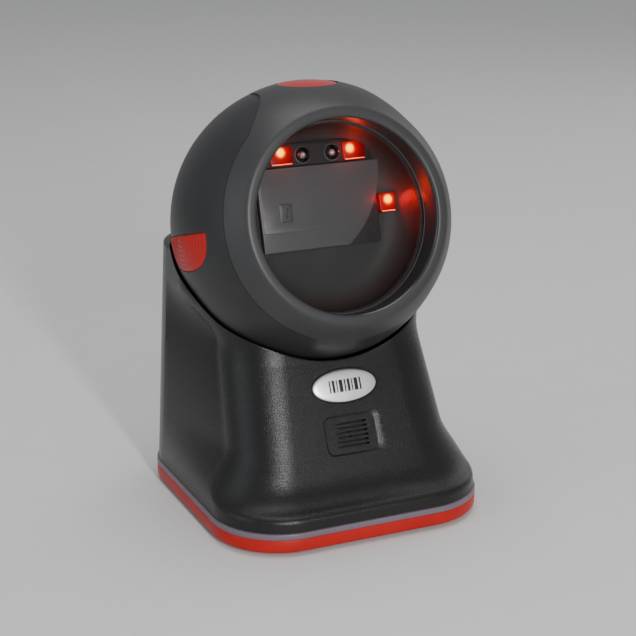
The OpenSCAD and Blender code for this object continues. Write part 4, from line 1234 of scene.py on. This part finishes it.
tray_levels = [(tray_low.z + TRAY_FLOOR_T, TRAY_WALL), (trim_low.z - 0.1, TRAY_WALL),
               (trim_low.z, TRAY_WALL - 0.1), (trim_low.z, GROOVE), (trim_low.z - SOFT, SOFT),
               (trim_low.z - GROOVE, 0)]
for k in range(9):
    a = math.pi / 2 * k / 8
    tray_levels.append((tray_low.z + TRAY_ROUND * (1 - math.sin(a)), TRAY_ROUND * (1 - math.cos(a))))
tray = stacked("base_tray_rounded", base_outline, tray_levels, WORLD, "stand", red_look,
               ["base_tray"])
feet_low, feet_high = low_high("rubber_feet")
FOOT_R = 5.5
foot_x = feet_high.x - FOOT_R
foot_front = feet_low.y + FOOT_R
foot_rear = feet_high.y - FOOT_R
foot_holes = [plain_cylinder(FOOT_R + 0.2, 0, feet_high.z, moved(WORLD, x, y), 48)
              for x in (-foot_x, foot_x) for y in (foot_front, foot_rear)]
BASE_SCREWS = [(33, -31), (36, 34), (-33, -31), (-36, 34)]
screw_holes = [plain_cylinder(3.0, 0, 2.6, moved(WORLD, x, y), 40) for x, y in BASE_SCREWS]
cut(tray, *foot_holes, *screw_holes)
smooth(tray, 40)

# Mauve-grey trim band round the stand's foot
trim_levels = [(trim_low.z, TRAY_WALL), (trim_low.z, GROOVE), (trim_low.z + SOFT, SOFT),
               (trim_low.z + GROOVE, 0), (trim_high.z - 0.4, 0), (trim_high.z - 0.12, 0.12),
               (trim_high.z, 0.4), (trim_high.z, TRAY_WALL)]
trim = stacked("trim_band", base_outline, trim_levels, WORLD, "stand", trim_look,
               ["base_trim"], ring=True)
smooth(trim, 40)

# Badge: a domed plate in a dark rim, with a row of plain bars
RIM_W = 0.5
RIM_GAP = 0.02
PLATE_HALF_W = BADGE_HALF_W - RIM_W
PLATE_HALF_H = BADGE_HALF_H - RIM_W
DOME_STEPS = 14
DOME_BULGE = 0.75
DOME_EDGE_SHARE = 0.985
DOME_EDGE_Z = 0.12


def dome_height(share):
    """Height of the badge's dome at a share of the way from its middle out to its edge."""
    edge = DOME_BULGE * math.sqrt(1 - DOME_EDGE_SHARE ** 2)
    return DOME_EDGE_Z + DOME_BULGE * math.sqrt(1 - share ** 2) - edge


def rim_outline(inset):
    return oval_outline(BADGE_HALF_W - inset, BADGE_HALF_H - inset, BADGE_STEPS)


badge_levels = [(-0.95, 1.0), (0.0, 1.0), (DOME_EDGE_Z, DOME_EDGE_SHARE)]
for k in range(1, DOME_STEPS + 1):
    share = DOME_EDGE_SHARE * (1 - k / DOME_STEPS)
    badge_levels.append((dome_height(share), share))
badge_points = [(x * share, y * share, z) for z, share in badge_levels for x, y in rim_outline(RIM_W)]
badge_faces = grid_faces(len(badge_levels), BADGE_STEPS) + [tuple(range(BADGE_STEPS))[::-1]]
badge = piece("badge_plate", badge_points, badge_faces, badge_frame, "stand", badge_look,
              ["badge"])
smooth(badge, 40)
rim_levels = [(-0.9, 0.0), (0.0, 0.0), (0.1, 0.06), (0.14, 0.16), (0.1, RIM_W - 0.08),
              (0.0, RIM_W - RIM_GAP), (-0.9, RIM_W - RIM_GAP)]
badge_rim = stacked("badge_rim", rim_outline, rim_levels, badge_frame, "stand", strip_look,
                    ring=True)
smooth(badge_rim, 40)
BAR_WIDTHS = [0.5, 0.9, 0.4, 1.3, 0.5, 0.9, 0.4, 1.3, 0.6]
BAR_GAP = 0.62
BAR_HALF_H = 2.1
BAR_ROWS = 9


def on_dome(x, y, lift):
    return (x, y, dome_height(math.sqrt((x / PLATE_HALF_W) ** 2 + (y / PLATE_HALF_H) ** 2)) + lift)


# Each bar is a thin block that follows the dome: a lower sheet, an upper one, and walls between
bar_x = -(sum(BAR_WIDTHS) + BAR_GAP * (len(BAR_WIDTHS) - 1)) / 2
bar_points = []
bar_faces = []
sheet = grid_faces(BAR_ROWS, 2, close_columns=False)
around = [2 * k for k in range(BAR_ROWS)] + [2 * k + 1 for k in range(BAR_ROWS)][::-1]
for width in BAR_WIDTHS:
    low = len(bar_points)
    high = low + 2 * BAR_ROWS
    for lift in (-0.1, 0.05):
        for k in range(BAR_ROWS):
            y = -BAR_HALF_H + 2 * BAR_HALF_H * k / (BAR_ROWS - 1)
            bar_points += [on_dome(bar_x, y, lift), on_dome(bar_x + width, y, lift)]
    bar_faces += [tuple(low + i for i in face) for face in sheet]
    bar_faces += [tuple(high + i for i in face[::-1]) for face in sheet]
    bar_faces += [(low + a, low + b, high + b, high + a) for a, b in zip(around, around[1:] + around[:1])]
    bar_x += width + BAR_GAP
piece("badge_bars", bar_points, bar_faces, badge_frame, "stand", grille_look)

# ---------- Camera, lights and floor ----------
CAMERA_AT = Vector((-0.23087, -0.51610, 0.24604))
LOOK_AT = Vector((0.0021, 0.0, 0.06395))
camera_data = bpy.data.cameras.new("camera")
camera_data.lens = 96.2
camera_data.sensor_width = 36
camera = bpy.data.objects.new("camera", camera_data)
camera.location = CAMERA_AT
camera.rotation_euler = (LOOK_AT - CAMERA_AT).to_track_quat("-Z", "Y").to_euler()
bpy.context.scene.collection.objects.link(camera)
bpy.context.scene.camera = camera

FLOOR = 3.0
floor_corners = [(-FLOOR, -FLOOR, 0), (FLOOR, -FLOOR, 0), (FLOOR, FLOOR, 0), (-FLOOR, FLOOR, 0)]
floor_mesh = bpy.data.meshes.new("floor")
floor_mesh.from_pydata(floor_corners, [], [(0, 1, 2, 3)])
floor = bpy.data.objects.new("floor", floor_mesh)
bpy.context.scene.collection.objects.link(floor)
floor_mesh.materials.append(floor_look)

world = bpy.data.worlds.new("studio")
bpy.context.scene.world = world
world.use_nodes = True
world.node_tree.nodes["Background"].inputs["Color"].default_value = (0.90, 0.91, 0.93, 1)
world.node_tree.nodes["Background"].inputs["Strength"].default_value = 0.45


def area_light(name, position, width, height, power, colour=(1, 1, 1)):
    """A rectangular light that looks at the scanner's middle."""
    add_light(name, "AREA", power, colour, position, (0, 0, 0.08), shape="RECTANGLE", size=width,
              size_y=height)


area_light("front_strip", (-0.10, -1.15, 0.44), 0.075, 0.42, 12.5)
area_light("left_fill", (-1.1, -0.1, 0.42), 0.5, 0.8, 2.2, (0.86, 0.93, 1.0))
area_light("right_rim", (0.8, 0.35, 0.45), 0.3, 0.7, 0.9)
area_light("top", (0.05, 0.1, 1.1), 0.7, 0.7, 6)
